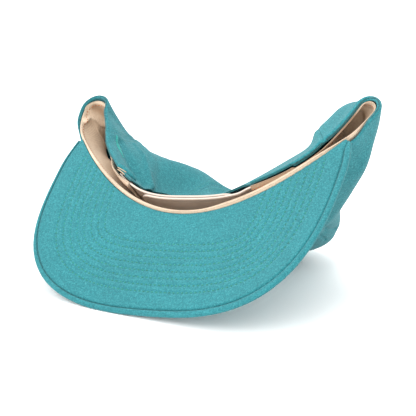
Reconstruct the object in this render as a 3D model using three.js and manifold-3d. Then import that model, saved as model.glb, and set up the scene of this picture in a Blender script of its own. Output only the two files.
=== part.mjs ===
// Snapback cap lying on a table, tipped forward on its brim and the front of its crown.
// Millimetres, +Z up. The pieces are made in the brim's own frame and then leant over as a whole:
// x to the wearer's right, q forward along the brim, u from the rim into the crown.
import * as THREE from 'three';
import { mergeVertices } from 'three/addons/utils/BufferGeometryUtils.js';
import Module from 'manifold-3d';

const wasm = await Module();
wasm.setup();

// Driving dimensions

const RIM_CHORD = 196; // straight across between the two ends of the brim
const RIM_BOW_DEPTH = 57.4; // how far the front of the rim bows forward of that chord
const CROWN_DEPTH = 116; // from the rim to the top
const CROWN_THICKNESS = 64; // thickness of the sagged crown at its fullest
const PANELS = 6;
const CLOTH_THICKNESS = 1.6;
const SEAM_GAP = 0.3;
const CLEARANCE = 0.3;

const BRIM_LENGTH = 70; // from the front of the rim to the front edge
const BRIM_OVERHANG_WIDTH = 5; // how far each side stands out beyond the end of the rim's chord
const BRIM_WIDEST_DEPTH = 28.2; // how far forward of the chord the brim is widest
const BRIM_THICKNESS = 3.2;
const BRIM_CURL_DEPTH = 12.5; // how far the front corners bend down
const BRIM_EDGE_POWER = 3; // squareness of the front edge
const EDGE_BAND_WIDTH = 3.7; // rolled edge outside the seam of the underside
const EDGE_BAND_DRIFT = 0.4; // the share by which it is wider on the right and narrower on the left
const UNDERSIDE_THICKNESS = 0.9;
const BRIM_END = 0.975; // how far along half its width the brim is built, to its two pointed ends

const ARCH_WIDTH = 90; // opening above the strap
const ARCH_HEIGHT = 45;
const ARCH_SQUARENESS = 0.85;
const STRAP_WIDTH = 20;
const STRAP_THICKNESS = 1.4;
const STRAP_RIM_GAP = 1;
const STRAP_OVERLAP_LENGTH = 70; // how far the two halves lie on each other
const STRAP_SEWN_LENGTH = 14;
const SNAP_PITCH = 8.4;
const SNAP_PEGS = 7;
const SNAP_HOLES = 9;
const PEG_DIAMETER = 3.4;
const PEG_HEAD_DIAMETER = 4.6;
const PEG_HEAD_HEIGHT = 0.9;

const SWEATBAND_HEIGHT = 30;
const SWEATBAND_THICKNESS = 1.2;
const SWEATBAND_HEM_THICKNESS = 1.6; // thickness of the turned edge at the sides and the back
const SWEATBAND_ROLL_THICKNESS = 2.4; // thickness of the rolled edge at the front
const SWEATBAND_ROLL_HEIGHT = 4;
const SWEATBAND_FLARE = 0.2; // the share of the crown's flare that it takes up
const SWEATBAND_LEAN_DEPTH = 9; // how far its deep edge leans in at the left of the front
const SWEATBAND_LEAN_PLACES = [0.7, 0.75, 0.84, 0.92]; // where that starts, is full, eases and ends
const SWEATBAND_TURN_GAP = 3.8; // how far it stands off the cloth where the rim turns sharply
const SWEATBAND_COVER_LENGTH = 8; // how far past the strap's sewn ends it still stands off the cloth
const SWEATBAND_EASE_LENGTH = 12; // the length in which it comes back to the cloth from there
const SWEATBAND_PROUD_HEIGHT = 1; // how far the roll stands below the brim
const SWEATBAND_SET_BACK_HEIGHT = 2; // how far inside the rim it starts at the sides and the back

const BUTTON_DIAMETER = 15;
const BUTTON_HEIGHT = 4.6;

const LEAN_DEGREES = 44.4; // the brim's dip towards the front
const ROLL_DEGREES = 8.9; // the brim's dip towards the wearer's left

// Resolution of the meshes

const LOOP_STEPS = 60;
const TAIL_STEPS = 10;
const CAP_STEPS = 20;
const PANEL_COLUMNS = 11;
const SIDE_COLUMNS = 20;
const PANEL_ROWS = 16;
const ARCH_ROWS = 8;
const BRIM_COLUMNS = 44;
const BRIM_ROWS = 4;
const SWEATBAND_COLUMNS = 78;
const SWEATBAND_ROWS = 5;
const STRAP_COLUMNS = 22;
const END_STEPS = 4;
const PEG_SIDES = 8;
const BUTTON_SIDES = 20;
const BUTTON_RINGS = 5;
const NORMAL_STEP = 0.004;
const EDGE_POINTS = 80; // on each side of the brim's outer edge, and again on each half of its front
const TOP_POINTS = 12;
const HALVINGS = 40; // in the search for a place up the cloth
const BUNCHING = 0.4; // how much closer the columns lie where the rim turns sharply

const strapLength = ARCH_WIDTH / 2 + STRAP_SEWN_LENGTH + STRAP_OVERLAP_LENGTH / 2;
const halfChord = RIM_CHORD / 2;
const brimHalfWidth = halfChord + BRIM_OVERHANG_WIDTH;
const brimReach = RIM_BOW_DEPTH + BRIM_LENGTH;

// The crown's sections from the rim to the top. v is the share of the way up the cloth. depth is a
// share of CROWN_DEPTH. side, span, tailLeft and tailRight are shares of half the rim chord: how far
// the section lies to the right, half the width of its bowed front, and the tails that go on from
// there. front and drop are shares of RIM_BOW_DEPTH: how far forward the middle is, and how far the
// ends fall back from it. turnLeft and turnRight bend the tails, in degrees. The last eight are
// half the thickness from the left end to the right one, as shares of CROWN_THICKNESS.
const SECTIONS = table(
  ['v', 'depth', 'side', 'span', 'front', 'drop', 'tailLeft', 'tailRight', 'turnLeft', 'turnRight',
    'leftEnd', 'farLeft', 'left', 'midLeft', 'middle', 'midRight', 'right', 'rightEnd'],
  [
    [0, 0, 0, 1, 1, 1, 0.26, 0.21, 22, 5, 0.14, 0.15, 0.095, 0.07, 0.11, 0.08, 0.055, 0.11],
    [0.1, 0.13, -0.06, 0.97, 1.03, 0.92, 0.23, 0.2, 14, 3, 0.2, 0.215, 0.2, 0.125, 0.17, 0.15, 0.17, 0.2],
    [0.21, 0.275, -0.13, 0.92, 1.06, 0.78, 0.2, 0.17, 8, 0, 0.28, 0.3, 0.31, 0.205, 0.25, 0.28, 0.29, 0.25],
    [0.33, 0.43, -0.21, 0.85, 1.07, 0.66, 0.16, 0.15, 2, 0, 0.37, 0.42, 0.46, 0.34, 0.36, 0.36, 0.34, 0.27],
    [0.46, 0.585, -0.27, 0.76, 1.03, 0.52, 0.12, 0.12, 0, 0, 0.42, 0.49, 0.54, 0.51, 0.44, 0.38, 0.35, 0.28],
    [0.6, 0.74, -0.23, 0.64, 0.8, 0.35, 0.09, 0.09, 0, 0, 0.38, 0.42, 0.45, 0.46, 0.41, 0.38, 0.35, 0.28],
    [0.76, 0.88, -0.2, 0.52, 0.5, 0.17, 0.06, 0.06, 0, 0, 0.31, 0.33, 0.35, 0.37, 0.35, 0.34, 0.31, 0.25],
    [0.9, 0.965, -0.17, 0.34, 0.22, 0.05, 0.04, 0.04, 0, 0, 0.22, 0.24, 0.25, 0.25, 0.25, 0.24, 0.22, 0.2],
    [1, 1, -0.16, 0.01, -0.05, 0, 0.01, 0.01, 0, 0, 0.03, 0.03, 0.03, 0.03, 0.03, 0.03, 0.03, 0.03],
  ],
);

// Creases of the sagged cloth. around and up are where each one starts and ends, as shares of the
// way round from the front and of the way up. width and rise are shares of CROWN_DEPTH, and a
// negative rise is a valley.
const FOLDS = table(
  ['around', 'up', 'toAround', 'toUp', 'width', 'rise'],
  [
    [0.575, 0.17, 0.650, 0.25, 0.05, 0.018],
    [0.600, 0.09, 0.665, 0.13, 0.06, -0.016],
    [0.335, 0.08, 0.290, 0.12, 0.08, 0.040],
    [0.350, 0.20, 0.330, 0.36, 0.09, -0.020],
    [0.460, 0.46, 0.430, 0.66, 0.10, -0.010],
    [0.215, 0.52, 0.235, 0.68, 0.07, -0.026],
  ],
);

function table(names, rows) {
  return rows.map((row) => Object.fromEntries(names.map((name, column) => [name, row[column]])));
}

function clamp(value, low, high) {
  return Math.min(Math.max(value, low), high);
}

function mix(from, to, share) {
  return from + (to - from) * share;
}

function smoothstep(value, from, to) {
  const share = clamp((value - from) / (to - from), 0, 1);
  return share * share * (3 - 2 * share);
}

// A smooth curve through values at rising places.
function smoothThrough(places, values, place) {
  const last = places.length - 1;
  let span = 0;
  while (span < last - 1 && place >= places[span + 1]) {
    span += 1;
  }
  const length = places[span + 1] - places[span];
  const slope = (index) => {
    const before = Math.max(index - 1, 0);
    const after = Math.min(index + 1, last);
    return (values[after] - values[before]) / (places[after] - places[before]);
  };
  const t = (place - places[span]) / length;
  const square = t * t;
  const cube = square * t;
  return (2 * cube - 3 * square + 1) * values[span]
    + (cube - 2 * square + t) * slope(span) * length
    + (3 * square - 2 * cube) * values[span + 1]
    + (cube - square) * slope(span + 1) * length;
}

function sectionAt(v) {
  const places = SECTIONS.map((section) => section.v);
  const names = Object.keys(SECTIONS[0]);
  return Object.fromEntries(names.map((name) => (
    [name, smoothThrough(places, SECTIONS.map((section) => section[name]), v)]
  )));
}

// Half of a section's bowed front, as points with the direction of the line at each.
function halfFront(section, tailShare, turn) {
  const span = section.span * halfChord;
  const drop = section.drop * RIM_BOW_DEPTH;
  const tail = tailShare * halfChord;
  const points = [];
  for (let step = 0; step < LOOP_STEPS; step += 1) {
    const x = (span * step) / (LOOP_STEPS - 1);
    points.push({ x, q: -drop * (x / span) ** 2, heading: Math.atan2(2 * drop * x, span * span) });
  }
  const end = points[points.length - 1].heading;
  for (let step = 0; step < TAIL_STEPS; step += 1) {
    const before = points[points.length - 1];
    const heading = end + THREE.MathUtils.degToRad(turn) * ((2 * step + 1) / TAIL_STEPS);
    points.push({
      x: before.x + (tail / TAIL_STEPS) * Math.cos(heading),
      q: before.q - (tail / TAIL_STEPS) * Math.sin(heading),
      heading,
    });
  }
  return points;
}

function lengthsAlong(points) {
  const lengths = [0];
  for (let index = 1; index < points.length; index += 1) {
    const step = Math.hypot(points[index].x - points[index - 1].x, points[index].q - points[index - 1].q);
    lengths.push(lengths[index - 1] + step);
  }
  return lengths;
}

// A section of the crown's inner face as a closed line that starts at the middle of the front.
function loopAt(v) {
  const section = sectionAt(v);
  const right = halfFront(section, section.tailRight, section.turnRight);
  const left = halfFront(section, section.tailLeft, section.turnLeft);
  const front = [
    ...left.slice(1).reverse().map((point) => ({ x: -point.x, q: point.q, heading: -point.heading })),
    ...right,
  ];
  const middle = left.length - 1;
  const along = lengthsAlong(front);
  const stations = [-1, -5 / 6, -2 / 3, -1 / 3, 0, 1 / 3, 2 / 3, 1];
  const shares = [section.leftEnd, section.farLeft, section.left, section.midLeft, section.middle,
    section.midRight, section.right, section.rightEnd];
  for (const [index, point] of front.entries()) {
    const place = index < middle
      ? along[index] / along[middle] - 1
      : (along[index] - along[middle]) / (along[along.length - 1] - along[middle]);
    point.half = smoothThrough(stations, shares, place) * CROWN_THICKNESS;
    point.inward = [-Math.sin(point.heading), -Math.cos(point.heading)];
    point.onward = [Math.cos(point.heading), -Math.sin(point.heading)];
  }
  const back = front.map((point) => ({
    x: point.x + 2 * point.half * point.inward[0],
    q: point.q + 2 * point.half * point.inward[1],
  }));
  const roundEnd = (point, side) => {
    const arc = [];
    for (let step = 1; step < CAP_STEPS; step += 1) {
      const angle = (Math.PI * step) / CAP_STEPS;
      const across = point.half * (1 - Math.cos(angle));
      const out = side * point.half * Math.sin(angle);
      arc.push({
        x: point.x + across * point.inward[0] + out * point.onward[0],
        q: point.q + across * point.inward[1] + out * point.onward[1],
      });
    }
    return arc;
  };
  const outline = [
    ...front.slice(middle),
    ...roundEnd(front[front.length - 1], 1),
    ...back.reverse(),
    ...roundEnd(front[0], -1).reverse(),
    ...front.slice(0, middle + 1),
  ];
  const lengths = lengthsAlong(outline);
  return {
    outline,
    lengths,
    girth: lengths[lengths.length - 1],
    side: section.side * halfChord,
    forward: section.front * RIM_BOW_DEPTH,
    depth: section.depth * CROWN_DEPTH,
  };
}

const loops = new Map();

function loop(v) {
  const key = v.toFixed(6);
  if (!loops.has(key)) loops.set(key, loopAt(v));
  return loops.get(key);
}

// The brim's bend: how far a place in its plane is bent down, away from the crown.
function curl(x, q) {
  return BRIM_CURL_DEPTH * (x / brimHalfWidth) ** 2 * (Math.max(q, 0) / brimReach);
}

// Above the brim the cloth of the crown starts at the brim's upper face, elsewhere at the rim.
function rimStart(around, q) {
  const besideFront = Math.min(around, 1 - around) < 0.25;
  const overBrim = besideFront ? smoothstep(q, -4 * BRIM_THICKNESS, 0) : 0;
  return overBrim * (BRIM_THICKNESS + CLEARANCE);
}

function plainPoint(around, v) {
  const { outline, lengths, girth, side, forward, depth } = loop(v);
  const turn = around - Math.floor(around);
  const wanted = turn * girth;
  let low = 0;
  let high = lengths.length - 1;
  while (high - low > 1) {
    const centre = (low + high) >> 1;
    if (lengths[centre] <= wanted) {
      low = centre;
    } else {
      high = centre;
    }
  }
  const share = (wanted - lengths[low]) / Math.max(lengths[high] - lengths[low], 1e-9);
  const x = mix(outline[low].x, outline[high].x, share) + side;
  const q = mix(outline[low].q, outline[high].q, share) + forward;
  const start = rimStart(turn, q) - curl(x, q);
  return new THREE.Vector3(x, q, depth + start * (1 - v));
}

function outwardAt(point, around, v) {
  const low = Math.max(v - NORMAL_STEP, 0);
  const high = Math.min(v + NORMAL_STEP, 1);
  const along = point(around + NORMAL_STEP, v).sub(point(around - NORMAL_STEP, v));
  const upward = point(around, high).sub(point(around, low));
  return upward.cross(along).normalize();
}

function foldRise(around, v) {
  const girth = loop(0).girth;
  let rise = 0;
  for (const fold of FOLDS) {
    const start = [fold.around * girth, fold.up * CROWN_DEPTH];
    const reach = [(fold.toAround - fold.around) * girth, (fold.toUp - fold.up) * CROWN_DEPTH];
    const place = [around * girth - start[0], v * CROWN_DEPTH - start[1]];
    const length = Math.hypot(...reach);
    const along = (place[0] * reach[0] + place[1] * reach[1]) / length;
    const across = (place[0] * reach[1] - place[1] * reach[0]) / length;
    const past = Math.max(-along, along - length, 0);
    const distance = Math.hypot(across, past) / (fold.width * CROWN_DEPTH);
    rise += fold.rise * CROWN_DEPTH * Math.exp(-2 * distance * distance);
  }
  return rise;
}

function foldedPoint(around, v) {
  const turn = around - Math.floor(around);
  const rise = foldRise(turn, v);
  return plainPoint(turn, v).addScaledVector(outwardAt(plainPoint, turn, v), rise);
}

// The lean of the whole cap

const lean = THREE.MathUtils.degToRad(LEAN_DEGREES);
const roll = THREE.MathUtils.degToRad(ROLL_DEGREES);
const forwardAxis = new THREE.Vector3(0, -Math.cos(lean), -Math.sin(lean));
const levelDepthAxis = new THREE.Vector3(0, Math.sin(lean), -Math.cos(lean));
const rightAxis = new THREE.Vector3(Math.cos(roll), 0, 0).addScaledVector(levelDepthAxis, -Math.sin(roll));
const depthAxis = new THREE.Vector3(Math.sin(roll), 0, 0).addScaledVector(levelDepthAxis, Math.cos(roll));
const leanOver = new THREE.Matrix4().makeBasis(rightAxis, forwardAxis, depthAxis);
const up = new THREE.Vector3(rightAxis.z, forwardAxis.z, depthAxis.z);

// The outer edge of the brim from its left end to its right one.
function brimEdge() {
  const points = [];
  for (let step = 0; step <= EDGE_POINTS; step += 1) {
    const angle = (Math.PI / 2) * (step / EDGE_POINTS);
    points.push([
      mix(halfChord, brimHalfWidth, Math.sin(angle)),
      (BRIM_WIDEST_DEPTH * step) / EDGE_POINTS,
    ]);
  }
  for (let step = 1; step <= EDGE_POINTS; step += 1) {
    const angle = (Math.PI / 2) * (step / EDGE_POINTS);
    points.push([
      brimHalfWidth * Math.cos(angle) ** (2 / BRIM_EDGE_POWER),
      BRIM_WIDEST_DEPTH + (brimReach - BRIM_WIDEST_DEPTH) * Math.sin(angle) ** (2 / BRIM_EDGE_POWER),
    ]);
  }
  const right = points.map(([x, q]) => ({ x, q }));
  const left = right.slice(0, -1).map(({ x, q }) => ({ x: -x, q }));
  return [...left, ...right.reverse()];
}

const edgePoints = brimEdge();
const edgeLengths = lengthsAlong(edgePoints);

function brimEdgeAt(across) {
  const wanted = ((across + 1) / 2) * edgeLengths[edgeLengths.length - 1];
  let index = 1;
  while (index < edgeLengths.length - 1 && edgeLengths[index] < wanted) {
    index += 1;
  }
  const share = (wanted - edgeLengths[index - 1]) / (edgeLengths[index] - edgeLengths[index - 1]);
  return {
    x: mix(edgePoints[index - 1].x, edgePoints[index].x, share),
    q: mix(edgePoints[index - 1].q, edgePoints[index].q, share),
  };
}

// A place on the brim: across from -1 at its left end to 1, inward in mm from its outer edge or as
// a share of the way to the rim, and height in mm above its underside.
function brimPlace(across, inward, height) {
  const outer = brimEdgeAt(across);
  const inner = {
    x: across * halfChord,
    q: RIM_BOW_DEPTH * (1 - across * across) + CLEARANCE,
  };
  const width = Math.hypot(outer.x - inner.x, outer.q - inner.q);
  const share = inward(width) / width;
  const x = mix(outer.x, inner.x, share);
  const q = mix(outer.q, inner.q, share);
  return new THREE.Vector3(x, q, height - curl(x, q));
}

// The rounded outer edge of the brim, from its upper face to its underside.
function roundedEdge(across) {
  const round = BRIM_THICKNESS / 2;
  return [90, 45, 0, -45, -90].map((degrees) => {
    const angle = THREE.MathUtils.degToRad(degrees);
    const inward = round * (1 - Math.cos(angle));
    return brimPlace(across, () => inward, round + round * Math.sin(angle));
  });
}

function brimStations() {
  return Array.from({ length: BRIM_COLUMNS + 1 }, (_, column) => (
    mix(-BRIM_END, BRIM_END, column / BRIM_COLUMNS)
  ));
}

const floorHeight = -Math.min(...brimStations().flatMap(roundedEdge).map((point) => point.dot(up)));

// Cloth that would sink into the table lies flat on it.
function restOnTable(point, lowest) {
  const height = point.dot(up) + floorHeight;
  return height < lowest ? point.addScaledVector(up, lowest - height) : point;
}

// Closed meshes

function closedMesh(vertices, triangles) {
  const geometry = new THREE.BufferGeometry();
  const numbers = vertices.flatMap((point) => [point.x, point.y, point.z]);
  geometry.setAttribute('position', new THREE.Float32BufferAttribute(numbers, 3));
  geometry.setIndex(triangles);
  return geometry;
}

// A sheet with two faces. near and far give a point for each column and row; looking at the far
// face from outside, columns run to the right and rows run down.
function sheet(columns, rows, near, far) {
  const vertices = [];
  const triangles = [];
  const size = (columns + 1) * (rows + 1);
  for (const face of [near, far]) {
    for (let row = 0; row <= rows; row += 1) {
      for (let column = 0; column <= columns; column += 1) vertices.push(face(column, row));
    }
  }
  const index = (face, column, row) => face * size + row * (columns + 1) + column;
  const quad = (a, b, c, d) => triangles.push(a, b, c, a, c, d);
  const turned = ([a, b, c, d]) => [a, d, c, b];
  for (let row = 0; row < rows; row += 1) {
    for (let column = 0; column < columns; column += 1) {
      const corners = (face) => [index(face, column, row), index(face, column, row + 1),
        index(face, column + 1, row + 1), index(face, column + 1, row)];
      quad(...corners(1));
      quad(...turned(corners(0)));
    }
  }
  for (let row = 0; row < rows; row += 1) {
    const side = (column) => [index(0, column, row), index(0, column, row + 1),
      index(1, column, row + 1), index(1, column, row)];
    quad(...side(0));
    quad(...turned(side(columns)));
  }
  for (let column = 0; column < columns; column += 1) {
    const side = (row) => [index(0, column, row), index(1, column, row),
      index(1, column + 1, row), index(0, column + 1, row)];
    quad(...side(0));
    quad(...turned(side(rows)));
  }
  return closedMesh(vertices, triangles);
}

// A section's points in its own upright plane.
function flatCorners(section) {
  const [start] = section;
  const away = (point) => Math.hypot(point.x - start.x, point.y - start.y);
  const farthest = section.reduce((best, point) => (away(point) > away(best) ? point : best), start);
  const direction = new THREE.Vector2(farthest.x - start.x, farthest.y - start.y).normalize();
  return section.map((point) => new THREE.Vector2(
    (point.x - start.x) * direction.x + (point.y - start.y) * direction.y,
    point.z,
  ));
}

// A bar with one closed section at each station, its ends closed by a fan of triangles.
function bar(sections) {
  const sides = sections[0].length;
  const vertices = sections.flat();
  const triangles = [];
  for (let station = 0; station < sections.length - 1; station += 1) {
    for (let side = 0; side < sides; side += 1) {
      const next = (side + 1) % sides;
      const a = station * sides + side;
      const b = station * sides + next;
      triangles.push(a, b, b + sides, a, b + sides, a + sides);
    }
  }
  const corners = flatCorners(sections[0]);
  const clockwise = THREE.ShapeUtils.isClockWise(corners);
  const lastStart = (sections.length - 1) * sides;
  for (const closing of THREE.ShapeUtils.triangulateShape(corners, [])) {
    const [a, b, c] = clockwise ? closing.toReversed() : closing;
    triangles.push(a, c, b);
    triangles.push(lastStart + a, lastStart + b, lastStart + c);
  }
  return closedMesh(vertices, triangles);
}

function toSolid(geometry) {
  const bare = geometry.clone();
  bare.deleteAttribute('normal');
  bare.deleteAttribute('uv');
  const merged = mergeVertices(bare.index ? bare : bare.toNonIndexed(), 1e-4);
  return new wasm.Manifold(new wasm.Mesh({
    numProp: 3,
    vertProperties: new Float32Array(merged.attributes.position.array),
    triVerts: new Uint32Array(merged.index.array),
  }));
}

function fromSolid(solid) {
  const mesh = solid.getMesh();
  const geometry = new THREE.BufferGeometry();
  const numbers = new Float32Array(mesh.vertProperties);
  geometry.setAttribute('position', new THREE.BufferAttribute(numbers, mesh.numProp));
  geometry.setIndex(new THREE.BufferAttribute(new Uint32Array(mesh.triVerts), 1));
  return geometry;
}

function outwardFacing(geometry) {
  const { position } = geometry.attributes;
  const index = geometry.index.array;
  let volume = 0;
  const corners = [new THREE.Vector3(), new THREE.Vector3(), new THREE.Vector3()];
  for (let start = 0; start < index.length; start += 3) {
    corners.forEach((corner, offset) => corner.fromBufferAttribute(position, index[start + offset]));
    volume += corners[0].dot(corners[1].clone().cross(corners[2]));
  }
  if (volume < 0) {
    for (let start = 0; start < index.length; start += 3) {
      [index[start + 1], index[start + 2]] = [index[start + 2], index[start + 1]];
    }
  }
  geometry.computeVertexNormals();
  return geometry;
}

// Crown

// Half the width of the opening at a height above the rim, along the rim.
function archHalf(height) {
  const share = clamp(height / ARCH_HEIGHT, 0, 1);
  return (ARCH_WIDTH / 2) * (1 - share ** (2 / ARCH_SQUARENESS)) ** (ARCH_SQUARENESS / 2);
}

// The rows that all panels share, so that their seams keep an even gap.
function crownRows() {
  const rows = [];
  for (let row = 0; row <= ARCH_ROWS; row += 1) {
    rows.push(depthToV(ARCH_HEIGHT * Math.sin((Math.PI / 2) * (row / ARCH_ROWS)) ** ARCH_SQUARENESS));
  }
  const top = rows[ARCH_ROWS];
  const rest = PANEL_ROWS - ARCH_ROWS;
  for (let row = 1; row <= rest; row += 1) rows.push(mix(top, 1, row / rest));
  return rows;
}

function depthToV(depth) {
  let low = 0;
  let high = 1;
  for (let step = 0; step < HALVINGS; step += 1) {
    const centre = (low + high) / 2;
    if (loop(centre).depth < depth) {
      low = centre;
    } else {
      high = centre;
    }
  }
  return (low + high) / 2;
}

// Shares of the way, drawn together in the middle of each of a number of equal stretches.
function bunched(share, stretches) {
  const turns = 2 * Math.PI * stretches;
  return share + (BUNCHING * Math.sin(turns * share)) / turns;
}

function crownPanel(number) {
  const hasArch = number === PANELS / 2 - 1 || number === PANELS / 2;
  const turnsSharply = number % (PANELS / 2) === (PANELS / 2 - 1) / 2;
  const columns = turnsSharply ? SIDE_COLUMNS : PANEL_COLUMNS;
  const rows = crownRows();
  const place = (column, row) => {
    const v = rows[row];
    const { girth, depth } = loop(v);
    const gap = SEAM_GAP / 2 / girth;
    let from = number / PANELS + gap;
    let to = (number + 1) / PANELS - gap;
    if (hasArch) {
      const half = Math.max(archHalf(depth) / loop(0).girth, gap);
      if (number < PANELS / 2) {
        to = 0.5 - half;
      } else {
        from = 0.5 + half;
      }
    }
    const share = column / columns;
    return [mix(from, to, turnsSharply ? bunched(share, 1) : share), v];
  };
  const inner = (column, row) => restOnTable(foldedPoint(...place(column, row)), CLOTH_THICKNESS);
  const outer = (column, row) => {
    const [around, v] = place(column, row);
    const outward = outwardAt(foldedPoint, around, v);
    if (row === 0) outward.setZ(0).normalize();
    return restOnTable(foldedPoint(around, v).addScaledVector(outward, CLOTH_THICKNESS), 0);
  };
  return sheet(columns, PANEL_ROWS, inner, outer);
}

function crownButton() {
  const profile = [new THREE.Vector2(0, 0)];
  for (let ring = 0; ring <= BUTTON_RINGS; ring += 1) {
    const angle = (Math.PI / 2) * (ring / BUTTON_RINGS);
    const radius = ring === BUTTON_RINGS ? 0 : (BUTTON_DIAMETER / 2) * Math.cos(angle);
    profile.push(new THREE.Vector2(radius, BUTTON_HEIGHT * Math.sin(angle)));
  }
  const dome = new THREE.LatheGeometry(profile, BUTTON_SIDES);
  dome.rotateX(Math.PI / 2);
  const top = new THREE.Vector3();
  for (let step = 0; step < TOP_POINTS; step += 1) top.add(foldedPoint(step / TOP_POINTS, 1));
  top.divideScalar(TOP_POINTS);
  dome.translate(top.x, top.y, CROWN_DEPTH + CLOTH_THICKNESS + CLEARANCE);
  return fromSolid(toSolid(dome));
}

// Brim

function edgeBand(across, width) {
  const band = EDGE_BAND_WIDTH * (1 + EDGE_BAND_DRIFT * across);
  return Math.min(band, 0.45 * width);
}

function brimUpper() {
  const round = BRIM_THICKNESS / 2;
  const recess = UNDERSIDE_THICKNESS + CLEARANCE;
  return bar(brimStations().map((across) => {
    const section = [];
    for (let row = 0; row < BRIM_ROWS; row += 1) {
      section.push(brimPlace(across, (width) => mix(width, round, row / BRIM_ROWS), BRIM_THICKNESS));
    }
    section.push(...roundedEdge(across));
    section.push(brimPlace(across, (width) => edgeBand(across, width), 0));
    for (let row = 0; row <= BRIM_ROWS; row += 1) {
      const inward = (width) => mix(edgeBand(across, width), width, row / BRIM_ROWS);
      section.push(brimPlace(across, inward, recess));
    }
    return section;
  }));
}

function brimUnderside() {
  const bevel = UNDERSIDE_THICKNESS / 2;
  return bar(brimStations().map((across) => {
    const from = (width) => edgeBand(across, width) + CLEARANCE;
    const section = [];
    for (let row = BRIM_ROWS; row >= 0; row -= 1) {
      const inward = (width) => mix(from(width), width, row / BRIM_ROWS);
      section.push(brimPlace(across, inward, UNDERSIDE_THICKNESS));
    }
    section.push(brimPlace(across, from, bevel));
    for (let row = 0; row <= BRIM_ROWS; row += 1) {
      section.push(brimPlace(across, (width) => mix(from(width) + bevel, width, row / BRIM_ROWS), 0));
    }
    return section;
  }));
}

// Sweatband

// A place along the rim, in mm to the right of the middle of the back.
function aroundFromBack(right) {
  return 0.5 - right / loop(0).girth;
}

const strapHalfSpan = ARCH_WIDTH / 2;

// 1 at the sharp turns at the sides, 0 away from them.
function nearTurn(around) {
  const fromTurn = Math.abs(Math.abs(around - 0.5) - 0.25) * loop(0).girth;
  return 1 - smoothstep(fromTurn, SWEATBAND_HEIGHT, 2 * SWEATBAND_HEIGHT);
}

// 0 over the strap's sewn ends, 1 well past them.
function pastStrap(around) {
  const fromBack = Math.abs(around - 0.5) * loop(0).girth;
  const start = strapHalfSpan + STRAP_SEWN_LENGTH + SWEATBAND_COVER_LENGTH;
  return smoothstep(fromBack, start, start + SWEATBAND_EASE_LENGTH);
}

// How far inside the crown's cloth the sweatband's outer face lies: it passes over the strap's ends,
// and rounds the sharp turns at the sides.
function sweatbandInset(around) {
  const overStrap = 1 - pastStrap(around);
  return 2 * CLEARANCE + overStrap * STRAP_THICKNESS + nearTurn(around) * SWEATBAND_TURN_GAP;
}

// The sweatband hangs nearly straight, and follows the crown where the crown draws in. Where it
// covers the strap's ends it hangs straight.
function sweatbandFollows(around) {
  const rim = plainPoint(around, 0);
  const wall = plainPoint(around, depthToV(SWEATBAND_HEIGHT));
  const flare = wall.sub(rim).dot(outwardAt(plainPoint, around, 0).setZ(0).normalize());
  const flared = smoothstep(flare, 2 * CLOTH_THICKNESS, 6 * CLOTH_THICKNESS);
  const follows = mix(1, SWEATBAND_FLARE * pastStrap(around), flared);
  return mix(follows, 1, nearTurn(around));
}

// 1 at the left of the front, where the sweatband stands away from the cloth, 0 elsewhere.
function leftOfFront(around) {
  const [start, full, easing, end] = SWEATBAND_LEAN_PLACES;
  return smoothstep(around, start, full) * (1 - smoothstep(around, easing, end));
}

function sweatbandFace(around, height, inset) {
  const rim = plainPoint(around, 0);
  const rimOut = outwardAt(plainPoint, around, 0).setZ(0).normalize();
  const v = depthToV(clamp(height, 0, SWEATBAND_HEIGHT));
  const wall = plainPoint(around, v);
  const wallOut = outwardAt(plainPoint, around, v).setZ(0).normalize();
  const follows = sweatbandFollows(around);
  const overBrim = Math.min(around, 1 - around) < 0.25;
  const bend = overBrim ? curl(rim.x, rim.y) : 0;
  const point = rim.lerp(wall, follows);
  const out = rimOut.lerp(wallOut, follows).normalize();
  const leansIn = leftOfFront(around) * SWEATBAND_LEAN_DEPTH * smoothstep(height, 0, SWEATBAND_HEIGHT);
  point.addScaledVector(out, -inset - leansIn);
  return point.setZ(height - bend);
}

function sweatband() {
  const atFront = (around) => 1 - smoothstep(Math.min(around, 1 - around), 0.1, 0.2);
  const heightAt = (around, row) => {
    const start = mix(SWEATBAND_SET_BACK_HEIGHT, -SWEATBAND_PROUD_HEIGHT, atFront(around));
    return [
      start,
      start + SWEATBAND_ROLL_HEIGHT,
      2 * SWEATBAND_ROLL_HEIGHT,
      0.5 * SWEATBAND_HEIGHT,
      0.75 * SWEATBAND_HEIGHT,
      SWEATBAND_HEIGHT,
    ][row];
  };
  const end = (strapHalfSpan - CLEARANCE) / loop(0).girth;
  const aroundAt = (column) => {
    const turn = mix(0.5 + end, 1.5 - end, bunched(column / SWEATBAND_COLUMNS, 2));
    return turn - Math.floor(turn);
  };
  const thickness = (around, row) => {
    const roll = mix(SWEATBAND_HEM_THICKNESS, SWEATBAND_ROLL_THICKNESS, atFront(around));
    return row < 2 ? roll : SWEATBAND_THICKNESS;
  };
  const outer = (column, row) => {
    const around = aroundAt(column);
    return sweatbandFace(around, heightAt(around, row), sweatbandInset(around));
  };
  const inner = (column, row) => {
    const around = aroundAt(column);
    return sweatbandFace(around, heightAt(around, row), sweatbandInset(around) + thickness(around, row));
  };
  return sheet(SWEATBAND_COLUMNS, SWEATBAND_ROWS, inner, outer);
}

// Strap

// A place on the strap's line: right in mm from the middle of the back, and inset from the crown.
function strapPlace(right, inset, height) {
  const around = aroundFromBack(right);
  const point = plainPoint(around, 0);
  const out = outwardAt(plainPoint, around, 0).setZ(0).normalize();
  point.addScaledVector(out, -inset);
  point.z = height;
  return point;
}

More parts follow.
